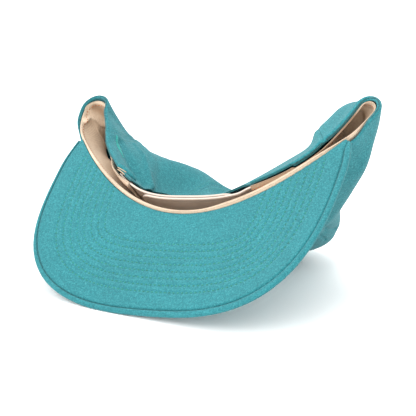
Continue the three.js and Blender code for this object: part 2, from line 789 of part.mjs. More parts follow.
// One half of the strap, from its sewn end to its round one. side is 1 on the right.
function strapStrip(side, insetAt) {
  const sewnAt = strapHalfSpan + STRAP_SEWN_LENGTH;
  const radius = STRAP_WIDTH / 2;
  const straight = strapLength - radius;
  const stations = [];
  for (let column = 0; column <= STRAP_COLUMNS; column += 1) {
    stations.push({ along: (straight * column) / STRAP_COLUMNS, half: radius });
  }
  for (let step = 1; step <= END_STEPS; step += 1) {
    const angle = (Math.PI / 2) * (step / (END_STEPS + 0.5));
    stations.push({ along: straight + radius * Math.sin(angle), half: radius * Math.cos(angle) });
  }
  const centre = STRAP_RIM_GAP + radius;
  return bar(stations.map(({ along, half }) => {
    const right = side * (sewnAt - along);
    const inset = insetAt(right);
    return [
      strapPlace(right, inset, centre + half),
      strapPlace(right, inset, centre - half),
      strapPlace(right, inset + STRAP_THICKNESS, centre - half),
      strapPlace(right, inset + STRAP_THICKNESS, centre + half),
    ];
  }));
}

const outerInset = CLEARANCE;
const innerInset = outerInset + STRAP_THICKNESS + CLEARANCE;
const roundEndOfRight = strapHalfSpan + STRAP_SEWN_LENGTH - strapLength;
const firstPeg = roundEndOfRight + SNAP_PITCH;

function rightInset(right) {
  const leftReach = -roundEndOfRight;
  return mix(innerInset, outerInset, smoothstep(right, leftReach + CLEARANCE, strapHalfSpan - 1));
}

function snapPost(right, from, to, diameter) {
  const post = new THREE.CylinderGeometry(diameter / 2, diameter / 2, to - from, PEG_SIDES);
  const around = aroundFromBack(right);
  const out = outwardAt(plainPoint, around, 0).setZ(0).normalize();
  post.applyQuaternion(new THREE.Quaternion().setFromUnitVectors(new THREE.Vector3(0, 1, 0), out));
  const centre = strapPlace(right, -(from + to) / 2, STRAP_RIM_GAP + STRAP_WIDTH / 2);
  return toSolid(post.translate(centre.x, centre.y, centre.z));
}

function strapRight() {
  let solid = toSolid(outwardFacing(strapStrip(1, rightInset)));
  const root = -(innerInset + STRAP_THICKNESS / 2);
  const headBase = CLEARANCE - outerInset;
  for (let peg = 0; peg < SNAP_PEGS; peg += 1) {
    const right = firstPeg + peg * SNAP_PITCH;
    solid = solid.add(snapPost(right, root, headBase + PEG_HEAD_HEIGHT / 2, PEG_DIAMETER));
    solid = solid.add(snapPost(right, headBase, headBase + PEG_HEAD_HEIGHT, PEG_HEAD_DIAMETER));
  }
  return fromSolid(solid);
}

function strapLeft() {
  let solid = toSolid(outwardFacing(strapStrip(-1, () => outerInset)));
  const hole = PEG_DIAMETER + 2 * CLEARANCE;
  const spare = SNAP_HOLES - SNAP_PEGS;
  for (let number = -spare; number < SNAP_PEGS; number += 1) {
    const right = firstPeg + number * SNAP_PITCH;
    solid = solid.subtract(snapPost(right, -(outerInset + 2 * STRAP_THICKNESS), STRAP_THICKNESS, hole));
  }
  return fromSolid(solid);
}

// Assembly

const wool = new THREE.MeshStandardMaterial({ color: 0x51abb2, roughness: 0.95, metalness: 0 });
const cottonTwill = new THREE.MeshStandardMaterial({ color: 0xdbc4ad, roughness: 0.9, metalness: 0 });
const plastic = new THREE.MeshStandardMaterial({ color: 0x8d7c6f, roughness: 0.45, metalness: 0 });

const cap = new THREE.Group();
const cradle = new THREE.Group();
cradle.applyMatrix4(leanOver);
cap.add(cradle);

function add(name, geometry, material) {
  const mesh = new THREE.Mesh(outwardFacing(geometry), material);
  mesh.name = name;
  cradle.add(mesh);
}

const panelNames = ['front_right', 'side_right', 'back_right', 'back_left', 'side_left', 'front_left'];
for (const [number, name] of panelNames.entries()) add(`crown_${name}`, crownPanel(number), wool);
add('crown_button', crownButton(), wool);
add('brim_upper', brimUpper(), wool);
add('brim_underside', brimUnderside(), wool);
add('sweatband', sweatband(), cottonTwill);
add('strap_left', strapLeft(), plastic);
add('strap_right', strapRight(), plastic);

// The origin is on the table, under the middle of the cap.
cap.updateMatrixWorld(true);
const box = new THREE.Box3();
for (const mesh of cradle.children) box.expandByObject(mesh, true);
cradle.position.set(-(box.min.x + box.max.x) / 2, -(box.min.y + box.max.y) / 2, floorHeight);
cap.updateMatrixWorld(true);

export default cap;
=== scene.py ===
"""Snapback cap lying on a table, tipped forward on its brim and the front of its crown.

Shapes are worked out in millimetres in the brim's own frame: x to the wearer's right, q forward
along the brim, u from the rim into the crown. They are then leant over and turned into metres.
"""
import math

import bmesh
import bpy
import numpy as np
from mathutils import Matrix, Vector
from mathutils.geometry import delaunay_2d_cdt


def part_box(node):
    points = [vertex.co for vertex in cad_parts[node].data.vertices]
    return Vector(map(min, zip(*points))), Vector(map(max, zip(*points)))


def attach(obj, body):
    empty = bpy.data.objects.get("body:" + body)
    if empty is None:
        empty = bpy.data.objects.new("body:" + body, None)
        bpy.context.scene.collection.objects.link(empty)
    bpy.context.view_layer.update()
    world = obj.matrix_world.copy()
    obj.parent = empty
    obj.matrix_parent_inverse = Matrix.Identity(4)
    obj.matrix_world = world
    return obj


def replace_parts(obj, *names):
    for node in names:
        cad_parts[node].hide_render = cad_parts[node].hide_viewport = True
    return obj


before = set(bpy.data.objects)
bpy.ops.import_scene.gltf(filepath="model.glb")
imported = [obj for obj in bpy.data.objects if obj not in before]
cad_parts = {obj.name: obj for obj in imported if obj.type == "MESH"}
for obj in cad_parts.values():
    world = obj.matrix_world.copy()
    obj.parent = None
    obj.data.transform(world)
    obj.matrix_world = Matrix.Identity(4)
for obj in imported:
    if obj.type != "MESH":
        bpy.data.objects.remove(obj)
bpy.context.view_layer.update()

METRES = 0.001

# Driving dimensions, as in the solids

RIM_CHORD = 196
RIM_BOW_DEPTH = 57.4
CROWN_DEPTH = 116
CROWN_THICKNESS = 64
PANELS = 6
CLOTH_THICKNESS = 1.6
CLEARANCE = 0.3

BRIM_LENGTH = 70
BRIM_OVERHANG_WIDTH = 5
BRIM_WIDEST_DEPTH = 28.2
BRIM_THICKNESS = 3.2
BRIM_CURL_DEPTH = 12.5
BRIM_EDGE_POWER = 3
BRIM_END = 0.975
EDGE_BAND_WIDTH = 3.7
EDGE_BAND_DRIFT = 0.4

ARCH_WIDTH = 90
ARCH_HEIGHT = 45
ARCH_SQUARENESS = 0.85
STRAP_WIDTH = 20
STRAP_THICKNESS = 1.4
STRAP_RIM_GAP = 1
STRAP_OVERLAP_LENGTH = 70
STRAP_SEWN_LENGTH = 14
SNAP_PITCH = 8.4
SNAP_PEGS = 7
SNAP_HOLES = 9
PEG_DIAMETER = 3.4
PEG_HEAD_DIAMETER = 4.6

SWEATBAND_HEIGHT = 30
SWEATBAND_THICKNESS = 1.2
SWEATBAND_ROLL_THICKNESS = 2.4
SWEATBAND_FLARE = 0.2
SWEATBAND_COVER_LENGTH = 8
SWEATBAND_EASE_LENGTH = 12
SWEATBAND_PROUD_HEIGHT = 1

BUTTON_DIAMETER = 15
BUTTON_HEIGHT = 4.6

LEAN_DEGREES = 44.4
ROLL_DEGREES = 8.9

# Sizes that differ from those of the solids, or that only the looks have

SEAM_GAP = 0.06
SWEATBAND_TURN_GAP = 0.1
SWEATBAND_LEAN_DEPTH = 16
SWEATBAND_LEAN_PLACES = (0.69, 0.75, 0.8, 0.97)  # where that starts, is full, eases and ends
TIP_LEAN_DEPTH = 8
TIP_LEAN_PLACES = (0.215, 0.25, 0.29, 0.34)

# The way round is counted in shares, from the middle of the front over the right side
SIDE_TURN = 0.25
BACK = 0.5

# How finely the loops of the crown are drawn

LOOP_STEPS = 120
TAIL_STEPS = 16
CAP_STEPS = 40
NORMAL_STEP = 0.002
BRIM_REACH_BACK = 4  # how far behind the chord the cloth starts to ride up, in thicknesses of the brim

half_chord = RIM_CHORD / 2
half_brim = half_chord + BRIM_OVERHANG_WIDTH
brim_reach = RIM_BOW_DEPTH + BRIM_LENGTH
strap_half_span = ARCH_WIDTH / 2
strap_length = strap_half_span + STRAP_SEWN_LENGTH + STRAP_OVERLAP_LENGTH / 2

# The crown's sections from the rim to the top, as in the solids. v is the share of the way up the
# cloth. depth is a share of CROWN_DEPTH. side, span and the tails are shares of half the rim chord,
# front and drop shares of RIM_BOW_DEPTH, and the turns are degrees. The last eight are half the
# thickness at the stations from the left end to the right one, as shares of CROWN_THICKNESS.
SECTION_NAMES = ["v", "depth", "side", "span", "front", "drop", "tail_left", "tail_right",
                 "turn_left", "turn_right", "left_end", "far_left", "left", "mid_left", "middle",
                 "mid_right", "right", "right_end"]
THICKNESS_STATIONS = [-1, -5 / 6, -2 / 3, -1 / 3, 0, 1 / 3, 2 / 3, 1]
SECTIONS = np.array([
    [0, 0, 0, 1, 1, 1, 0.26, 0.21, 22, 5, 0.14, 0.15, 0.095, 0.07, 0.11, 0.08, 0.055, 0.11],
    [0.1, 0.13, -0.06, 0.97, 1.03, 0.92, 0.23, 0.2, 14, 3, 0.2, 0.215, 0.2, 0.125, 0.17, 0.15, 0.17, 0.2],
    [0.21, 0.275, -0.13, 0.92, 1.06, 0.78, 0.2, 0.17, 8, 0, 0.28, 0.3, 0.31, 0.205, 0.25, 0.28, 0.29, 0.25],
    [0.33, 0.43, -0.21, 0.85, 1.07, 0.66, 0.16, 0.15, 2, 0, 0.37, 0.42, 0.46, 0.34, 0.36, 0.36, 0.34, 0.27],
    [0.46, 0.585, -0.27, 0.76, 1.03, 0.52, 0.12, 0.12, 0, 0, 0.42, 0.49, 0.54, 0.51, 0.44, 0.38, 0.35, 0.28],
    [0.6, 0.74, -0.23, 0.64, 0.8, 0.35, 0.09, 0.09, 0, 0, 0.38, 0.42, 0.45, 0.46, 0.41, 0.38, 0.35, 0.28],
    [0.76, 0.88, -0.2, 0.52, 0.5, 0.17, 0.06, 0.06, 0, 0, 0.31, 0.33, 0.35, 0.37, 0.35, 0.34, 0.31, 0.25],
    [0.9, 0.965, -0.17, 0.34, 0.22, 0.05, 0.04, 0.04, 0, 0, 0.22, 0.24, 0.25, 0.25, 0.25, 0.24, 0.22, 0.2],
    [1, 1, -0.16, 0.01, -0.05, 0, 0.01, 0.01, 0, 0, 0.03, 0.03, 0.03, 0.03, 0.03, 0.03, 0.03, 0.03],
])

# Folds as in the solids: around and up where each one starts, the same where it ends, then its
# width and rise as shares of CROWN_DEPTH. A negative rise is a valley.
FOLDS = np.array([
    [0.575, 0.17, 0.650, 0.25, 0.05, 0.018],
    [0.600, 0.09, 0.665, 0.13, 0.06, -0.016],
    [0.335, 0.08, 0.290, 0.12, 0.08, 0.040],
    [0.350, 0.20, 0.330, 0.36, 0.09, -0.020],
    [0.460, 0.46, 0.430, 0.66, 0.10, -0.010],
    [0.215, 0.52, 0.235, 0.68, 0.07, -0.026],
])

# Small wrinkles that only the looks have, in the same columns
WRINKLES = np.array([
    [0.572, 0.172, 0.655, 0.190, 0.013, 0.012],
    [0.580, 0.130, 0.655, 0.070, 0.036, -0.021],
    [0.590, 0.33, 0.540, 0.44, 0.045, -0.006],
    [0.196, 0.40, 0.206, 0.62, 0.014, -0.009],
])


def smoothstep(value, low, high):
    share = np.clip((value - low) / (high - low), 0, 1)
    return share * share * (3 - 2 * share)


def mix(start, end, share):
    return start + (end - start) * share


def smooth_through(places, values, at):
    """A smooth curve through values at rising places."""
    places = np.asarray(places, float)
    values = np.asarray(values, float)
    slopes = np.empty_like(values)
    slopes[1:-1] = (values[2:] - values[:-2]) / (places[2:] - places[:-2])
    slopes[0] = (values[1] - values[0]) / (places[1] - places[0])
    slopes[-1] = (values[-1] - values[-2]) / (places[-1] - places[-2])
    span = np.clip(np.searchsorted(places, at, side="right") - 1, 0, len(places) - 2)
    length = places[span + 1] - places[span]
    t = (at - places[span]) / length
    square = t * t
    cube = square * t
    return ((2 * cube - 3 * square + 1) * values[span] + (cube - 2 * square + t) * slopes[span] * length
            + (3 * square - 2 * cube) * values[span + 1] + (cube - square) * slopes[span + 1] * length)


def section_at(v):
    return {name: float(smooth_through(SECTIONS[:, 0], SECTIONS[:, column], v))
            for column, name in enumerate(SECTION_NAMES)}


def half_front(section, side):
    """x, q and heading along half of a section's bowed front."""
    span = section["span"] * half_chord
    drop = section["drop"] * RIM_BOW_DEPTH
    tail = section["tail_" + side] * half_chord
    turn = section["turn_" + side]
    x = span * np.linspace(0, 1, LOOP_STEPS)
    q = -drop * (x / span) ** 2
    heading = np.arctan2(2 * drop * x, span * span)
    turned = heading[-1] + math.radians(turn) * (2 * np.arange(TAIL_STEPS) + 1) / TAIL_STEPS
    step = tail / TAIL_STEPS
    tail_x = x[-1] + np.cumsum(step * np.cos(turned))
    tail_q = q[-1] - np.cumsum(step * np.sin(turned))
    return np.concatenate([x, tail_x]), np.concatenate([q, tail_q]), np.concatenate([heading, turned])


def lengths_along(points):
    steps = np.linalg.norm(np.diff(points, axis=0), axis=1)
    return np.concatenate([[0], np.cumsum(steps)])


def on_line(lengths, values, at):
    """The values of a line at lengths along it."""
    return np.stack([np.interp(at, lengths, values[:, axis]) for axis in range(values.shape[1])], -1)


def round_end(point, half, inward, onward, side):
    angle = np.pi * np.arange(1, CAP_STEPS) / CAP_STEPS
    across = half * (1 - np.cos(angle))
    out = side * half * np.sin(angle)
    return point + across[:, None] * inward + out[:, None] * onward


def loop_at(v):
    """A section of the crown's inner face as a closed line that starts at the middle of the front."""
    section = section_at(v)
    right = half_front(section, "right")
    left = half_front(section, "left")
    x = np.concatenate([-left[0][:0:-1], right[0]])
    q = np.concatenate([left[1][:0:-1], right[1]])
    heading = np.concatenate([-left[2][:0:-1], right[2]])
    front = np.stack([x, q], 1)
    middle = len(left[0]) - 1
    along = lengths_along(front)
    place = np.where(np.arange(len(along)) < middle, along / along[middle] - 1,
                     (along - along[middle]) / (along[-1] - along[middle]))
    shares = [section[name] for name in SECTION_NAMES[-len(THICKNESS_STATIONS):]]
    half = smooth_through(THICKNESS_STATIONS, shares, place) * CROWN_THICKNESS
    inward = np.stack([-np.sin(heading), -np.cos(heading)], 1)
    onward = np.stack([np.cos(heading), -np.sin(heading)], 1)
    back = front + 2 * half[:, None] * inward
    outline = np.concatenate([
        front[middle:],
        round_end(front[-1], half[-1], inward[-1], onward[-1], 1),
        back[::-1],
        round_end(front[0], half[0], inward[0], onward[0], -1)[::-1],
        front[:middle + 1],
    ])
    lengths = lengths_along(outline)
    return {
        "x": outline[:, 0] + section["side"] * half_chord,
        "q": outline[:, 1] + section["front"] * RIM_BOW_DEPTH,
        "lengths": lengths,
        "girth": lengths[-1],
        "depth": section["depth"] * CROWN_DEPTH,
    }


loops = {}


def loop(v):
    key = round(float(v), 6)
    if key not in loops:
        loops[key] = loop_at(key)
    return loops[key]


girth = loop(0)["girth"]


def curl(x, q):
    return BRIM_CURL_DEPTH * (x / half_brim) ** 2 * (np.maximum(q, 0) / brim_reach)


def plain_row(around, v):
    """Points of the crown's inner face at one height, before its folds."""
    ring = loop(v)
    turn = around % 1
    wanted = turn * ring["girth"]
    x = np.interp(wanted, ring["lengths"], ring["x"])
    q = np.interp(wanted, ring["lengths"], ring["q"])
    ride_up = smoothstep(q, -BRIM_REACH_BACK * BRIM_THICKNESS, 0)
    over_brim = np.where(np.minimum(turn, 1 - turn) < SIDE_TURN, ride_up, 0)
    start = over_brim * (BRIM_THICKNESS + CLEARANCE) - curl(x, q)
    return np.stack([x, q, ring["depth"] + start * (1 - v)], -1)


def unit(vectors):
    return vectors / np.maximum(np.linalg.norm(vectors, axis=-1, keepdims=True), 1e-9)


def outward_row(around, v):
    along = plain_row(around + NORMAL_STEP, v) - plain_row(around - NORMAL_STEP, v)
    upward = plain_row(around, min(v + NORMAL_STEP, 1)) - plain_row(around, max(v - NORMAL_STEP, 0))
    return unit(np.cross(upward, along))


def ridge_rise(table, around, v):
    """How far the ridges of a table lift a place, in mm."""
    rise = np.zeros(np.broadcast(around, v).shape)
    for around0, up0, around1, up1, width, height in table:
        reach = np.array([(around1 - around0) * girth, (up1 - up0) * CROWN_DEPTH])
        length = np.linalg.norm(reach)
        place = (around - around0) * girth, (v - up0) * CROWN_DEPTH
        along = (place[0] * reach[0] + place[1] * reach[1]) / length
        across = (place[0] * reach[1] - place[1] * reach[0]) / length
        past = np.maximum(np.maximum(-along, along - length), 0)
        distance = np.hypot(across, past) / (width * CROWN_DEPTH)
        rise += height * CROWN_DEPTH * np.exp(-2 * distance * distance)
    return rise


def folded_row(around, v):
    turn = around % 1
    rise = ridge_rise(FOLDS, turn, v)
    return plain_row(turn, v) + rise[:, None] * outward_row(turn, v)


# The lean of the whole cap

lean = math.radians(LEAN_DEGREES)
roll = math.radians(ROLL_DEGREES)
forward_axis = np.array([0, -math.cos(lean), -math.sin(lean)])
level_depth_axis = np.array([0, math.sin(lean), -math.cos(lean)])
right_axis = np.array([math.cos(roll), 0, 0]) - math.sin(roll) * level_depth_axis
depth_axis = np.array([math.sin(roll), 0, 0]) + math.cos(roll) * level_depth_axis
basis = np.stack([right_axis, forward_axis, depth_axis], 1)
up = basis[2]


def brim_edge():
    """The outer edge of the brim from its left end to its right one."""
    angle = np.linspace(0, np.pi / 2, 161)
    side = np.stack([mix(half_chord, half_brim, np.sin(angle)), BRIM_WIDEST_DEPTH * angle / (np.pi / 2)], 1)
    power = 2 / BRIM_EDGE_POWER
    front = np.stack([half_brim * np.maximum(np.cos(angle), 0) ** power,
                      BRIM_WIDEST_DEPTH + (brim_reach - BRIM_WIDEST_DEPTH) * np.sin(angle) ** power], 1)
    right = np.concatenate([side, front[1:]])
    left = right[:-1] * [-1, 1]
    return np.concatenate([left, right[::-1]])


edge_points = brim_edge()
edge_lengths = lengths_along(edge_points)


def brim_lines(across):
    """The brim's outer points, inner points and the widths between them."""
    wanted = (across + 1) / 2 * edge_lengths[-1]
    outer = on_line(edge_lengths, edge_points, wanted)
    inner = np.stack([across * half_chord, RIM_BOW_DEPTH * (1 - across * across) + CLEARANCE], -1)
    return outer, inner, np.linalg.norm(outer - inner, axis=-1)


def brim_place(across, inward, height):
    """Points on the brim, inward in mm from its outer edge, height in mm above its underside."""
    outer, inner, width = brim_lines(across)
    share = (inward / width)[..., None]
    flat = mix(outer, inner, share)
    return np.stack([flat[..., 0], flat[..., 1], height - curl(flat[..., 0], flat[..., 1])], -1)


def rounded_edge(across):
    radius = BRIM_THICKNESS / 2
    points = []
    for degrees in (90, 45, 0, -45, -90):
        angle = math.radians(degrees)
        inward = np.full_like(across, radius * (1 - math.cos(angle)))
        points.append(brim_place(across, inward, radius + radius * math.sin(angle)))
    return np.concatenate(points)


# Where the solids stand: the brim's box gives the shift
rim_of_brim = rounded_edge(np.linspace(-BRIM_END, BRIM_END, 45)) @ basis.T
brim_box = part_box("brim_upper")
shift = np.array([brim_box[0][axis] / METRES - rim_of_brim[:, axis].min() for axis in range(3)])
floor_height = shift[2]


def to_row(points):
    """Brim frame in mm to the row frame in metres."""
    return (np.asarray(points) @ basis.T + shift) * METRES


def rest_on_table(points, lowest):
    height = points @ up + floor_height
    lift = np.maximum(lowest - height, 0)
    return points + lift[..., None] * up


# Meshes


def new_object(name, vertices, faces, material, smooth=True):
    mesh = bpy.data.meshes.new(name)
    mesh.from_pydata([tuple(p) for p in to_row(vertices)], [], [tuple(int(i) for i in f) for f in faces])
    mesh.validate()
    mesh.polygons.foreach_set("use_smooth", [smooth] * len(mesh.polygons))
    obj = bpy.data.objects.new(name, mesh)
    bpy.context.scene.collection.objects.link(obj)
    obj.data.materials.append(material)
    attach(obj, "root")
    return obj


def painted_light(obj, values):
    """Keeps a share for each vertex that the materials read: how much painted shade or painted highlight it
    gets.
    """
    attribute = obj.data.attributes.new("painted_light", "FLOAT", "POINT")
    attribute.data.foreach_set("value", np.asarray(values, np.float32))


def grid_faces(rows, columns, start=0, flip=False, closed=False):
    """Quads of a grid of rows by columns of points."""
    faces = []
    wrap = columns if closed else columns - 1
    for row in range(rows - 1):
        for column in range(wrap):
            a = start + row * columns + column
            b = start + row * columns + (column + 1) % columns
            quad = (a, a + columns, b + columns, b)
            faces.append(quad[::-1] if flip else quad)
    return faces


def sheet(near, far):
    """A closed sheet between two grids of points. Seen from the far side, columns run right and rows down."""
    rows, columns = near.shape[:2]
    size = rows * columns
    vertices = np.concatenate([near.reshape(-1, 3), far.reshape(-1, 3)])
    faces = grid_faces(rows, columns, 0, flip=True) + grid_faces(rows, columns, size)
    border = [(0, column) for column in range(columns)]
    border += [(row, columns - 1) for row in range(1, rows)]
    border += [(rows - 1, column) for column in range(columns - 2, -1, -1)]
    border += [(row, 0) for row in range(rows - 2, 0, -1)]
    for index, (row, column) in enumerate(border):
        next_row, next_column = border[(index + 1) % len(border)]
        a = row * columns + column
        b = next_row * columns + next_column
        faces.append((a, b, b + size, a + size))
    return vertices, faces


def tube_faces(stations, sides):
    """A closed bar of stations sections with fans at both ends."""
    faces = grid_faces(stations, sides, closed=True)
    faces.append(tuple(range(sides)))
    last = (stations - 1) * sides
    faces.append(tuple(last + side for side in reversed(range(sides))))
    return faces


class Pile:
    """Many small closed shapes that become one object."""

    def __init__(self):
        self.vertices = []
        self.faces = []
        self.count = 0

    def add(self, vertices, faces):
        self.vertices.append(vertices)
        self.faces += [tuple(i + self.count for i in face) for face in faces]
        self.count += len(vertices)

    def build(self, name, material):
        return new_object(name, np.concatenate(self.vertices), self.faces, material)


STITCH_SIDES = 5
STITCH_STEP = 0.3
STITCH_PROFILE = [(-0.5, 0.35), (-0.36, 0.8), (0, 1), (0.36, 0.8), (0.5, 0.35)]


def add_stitches(pile, line, normals, pitch, share, radius, sink=0.35):
    """A run of stitches along a line: each is share of the pitch long and dips at its ends."""
    lengths = lengths_along(line)
    count = max(int(lengths[-1] / pitch), 1)
    for number in range(count):
        centre = (number + 0.5) * lengths[-1] / count
        length = share * lengths[-1] / count
        rings = []
        for place, fat in STITCH_PROFILE:
            at = centre + place * length
            point = on_line(lengths, line, at)
            ahead = on_line(lengths, line, at + STITCH_STEP)
            behind = on_line(lengths, line, at - STITCH_STEP)
            normal = unit(on_line(lengths, normals, at))
            side = unit(np.cross(unit(ahead - behind), normal))
            dip = radius * (0.5 - sink - 1.6 * (2 * place) ** 4)
            turn = 2 * np.pi * np.arange(STITCH_SIDES) / STITCH_SIDES
            ring = (point + dip * normal + fat * radius * np.cos(turn)[:, None] * side
                    + 0.8 * fat * radius * np.sin(turn)[:, None] * normal)
            rings.append(ring)
        pile.add(np.concatenate(rings), tube_faces(len(rings), STITCH_SIDES))


# Materials


def shader(name, roughness, sheen=0.0, coat=0.0):
    material = bpy.data.materials.new(name)
    material.use_nodes = True
    nodes = material.node_tree.nodes
    principled = nodes["Principled BSDF"]
    principled.inputs["Roughness"].default_value = roughness
    principled.inputs["Sheen Weight"].default_value = sheen
    principled.inputs["Sheen Roughness"].default_value = 0.6
    principled.inputs["Coat Weight"].default_value = coat
    return material, principled


def linear(red, green, blue):
    """A colour given in 0 to 255 as the screen shows it."""
    def straight(value):
        share = value / 255
        return share / 12.92 if share <= 0.04045 else ((share + 0.055) / 1.055) ** 2.4
    return (straight(red), straight(green), straight(blue), 1)


def add_node(material, kind, **values):
    node = material.node_tree.nodes.new(kind)
    for name, value in values.items():
        if name in node.inputs:
            node.inputs[name].default_value = value
        else:
            setattr(node, name, value)
    return node


def join(material, source, target):
    material.node_tree.links.new(source, target)


def noise(material, scale, detail=3.0, roughness=0.6):
    coordinates = add_node(material, "ShaderNodeTexCoord")
    texture = add_node(material, "ShaderNodeTexNoise", Scale=scale, Detail=detail, Roughness=roughness)
    join(material, coordinates.outputs["Object"], texture.inputs["Vector"])
    return texture


def ramp(material, source, stops):
    node = add_node(material, "ShaderNodeValToRGB")
    elements = node.color_ramp.elements
    while len(elements) < len(stops):
        elements.new(0.5)
    for element, (place, colour) in zip(elements, stops):
        element.position = place
        element.color = colour
    join(material, source, node.inputs["Fac"])
    return node


def mixed(material, factor, first, second, blend="MIX"):
    node = add_node(material, "ShaderNodeMix", data_type="RGBA", blend_type=blend)
    for socket, value in ((0, factor), (6, first), (7, second)):
        if isinstance(value, (float, int, tuple)):
            node.inputs[socket].default_value = value
        else:
            join(material, value, node.inputs[socket])
    return node.outputs[2]


def bump(material, principled, height, strength, distance):
    node = add_node(material, "ShaderNodeBump")
    node.inputs["Strength"].default_value = strength
    node.inputs["Distance"].default_value = distance
    join(material, height, node.inputs["Height"])
    join(material, node.outputs["Normal"], principled.inputs["Normal"])


# Painted shade: the colour the twill is multiplied by where it stands in for shadow
TWILL_PAINTED_SHADE = (0.38, 0.28, 0.2, 1)
# Painted highlight: the pale colour along the strap's rim-side edge
PLASTIC_EDGE_HIGHLIGHT = (226, 216, 205)


def wool_material(name, colour, light, dark):
    """Melton wool: mottled felted fibres with a soft sheen."""
    material, principled = shader(name, 0.95, sheen=0.06)
    fibres = noise(material, 1500, detail=3, roughness=0.7)
    clumps = noise(material, 760, detail=3, roughness=0.65)
    patches = noise(material, 28, detail=2)
    fine = ramp(material, fibres.outputs["Fac"], [(0.3, dark), (0.52, colour), (0.75, light)])
    mottled = ramp(material, clumps.outputs["Fac"], [(0.3, dark), (0.55, colour), (0.8, light)])
    both = mixed(material, 0.45, fine.outputs["Color"], mottled.outputs["Color"])
    broad = ramp(material, patches.outputs["Fac"], [(0.3, (0.93, 0.93, 0.93, 1)), (0.7, (1.04, 1.04, 1.04, 1))])
    toned = mixed(material, 1.0, both, broad.outputs["Color"], "MULTIPLY")
    specks = noise(material, 520, detail=1)
    speck = ramp(material, specks.outputs["Fac"], [(0.80, (1, 1, 1, 1)), (0.84, (0.62, 0.66, 0.68, 1))])
    final = mixed(material, 1.0, toned, speck.outputs["Color"], "MULTIPLY")
    join(material, final, principled.inputs["Base Color"])
    height = mixed(material, 0.5, fibres.outputs["Fac"], clumps.outputs["Fac"])
    bump(material, principled, height, 0.6, 0.0006)
    return material


def twill_material(name, colour, dark):
    """Cotton twill: fine slanting ribs, with painted shade mixed in where the vertices' share asks for it."""
    material, principled = shader(name, 0.9, sheen=0.1)
    coordinates = add_node(material, "ShaderNodeTexCoord")
    ribs = add_node(material, "ShaderNodeTexWave", Scale=420.0, Distortion=1.2, Detail=1.0)
    join(material, coordinates.outputs["Object"], ribs.inputs["Vector"])
    grain = noise(material, 700, detail=3)
    tone = noise(material, 45, detail=2)
    ribbed = ramp(material, ribs.outputs["Fac"], [(0.15, dark), (0.6, colour)])
    flecked = ramp(material, grain.outputs["Fac"], [(0.35, dark), (0.55, colour)])
    both = mixed(material, 0.5, ribbed.outputs["Color"], flecked.outputs["Color"])
    broad = ramp(material, tone.outputs["Fac"], [(0.3, (0.92, 0.91, 0.89, 1)), (0.65, (1.03, 1.03, 1.03, 1))])
    toned = mixed(material, 1.0, both, broad.outputs["Color"], "MULTIPLY")
    # Painted shade: a darker, browner copy of the cloth, mixed in by the vertices' share
    painted_shade_share = add_node(material, "ShaderNodeAttribute", attribute_name="painted_light")
    painted_shade_copy = mixed(material, 1.0, toned, TWILL_PAINTED_SHADE, "MULTIPLY")
    final = mixed(material, painted_shade_share.outputs["Fac"], toned, painted_shade_copy)
    join(material, final, principled.inputs["Base Color"])
    height = mixed(material, 0.5, ribs.outputs["Fac"], grain.outputs["Fac"])
    bump(material, principled, height, 0.35, 0.0004)
    return material


def plastic_material(name, colour, dark):
    """Soft satin plastic with faint flow marks, and a painted highlight where the vertices' share asks for it.
    """
    material, principled = shader(name, 0.38, coat=0.15)
    cloud = noise(material, 60, detail=2)
    grain = noise(material, 1500, detail=2)
    toned = ramp(material, cloud.outputs["Fac"], [(0.3, dark), (0.7, colour)])
    # Painted highlight: a pale colour along the rim-side edge, mixed in by the vertices' share
    edge = add_node(material, "ShaderNodeAttribute", attribute_name="painted_light")
    edge_highlight = mixed(material, edge.outputs["Fac"], toned.outputs["Color"], linear(*PLASTIC_EDGE_HIGHLIGHT))
    join(material, edge_highlight, principled.inputs["Base Color"])
    worn = ramp(material, cloud.outputs["Fac"], [(0.3, (0.34, 0.34, 0.34, 1)), (0.7, (0.44, 0.44, 0.44, 1))])
    join(material, worn.outputs["Color"], principled.inputs["Roughness"])
    principled.inputs["Subsurface Weight"].default_value = 0.08
    principled.inputs["Subsurface Radius"].default_value = (0.002, 0.0015, 0.001)
    bump(material, principled, grain.outputs["Fac"], 0.08, 0.0002)
    return material


def thread_material(name, colour, dark):
    material, principled = shader(name, 0.7, sheen=0.03)
    twist = noise(material, 1800, detail=2)
    toned = ramp(material, twist.outputs["Fac"], [(0.35, dark), (0.6, colour)])
    join(material, toned.outputs["Color"], principled.inputs["Base Color"])
    bump(material, principled, twist.outputs["Fac"], 0.4, 0.0002)
    return material


wool = wool_material("wool_cloth", linear(21, 112, 119), linear(78, 154, 158), linear(0, 74, 82))
wool_thread = thread_material("wool_thread", linear(14, 126, 110), linear(0, 78, 70))
bright_thread = thread_material("mark_thread", linear(36, 166, 156), linear(8, 104, 104))
twill = twill_material("sweatband_twill", linear(212, 192, 168), linear(192, 169, 145))
pale_thread = thread_material("pale_thread", linear(196, 172, 142), linear(160, 134, 104))
orange_thread = thread_material("edge_thread", linear(186, 104, 48), linear(148, 76, 32))
plastic = plastic_material("strap_plastic", linear(170, 152, 139), linear(153, 135, 121))


# Crown

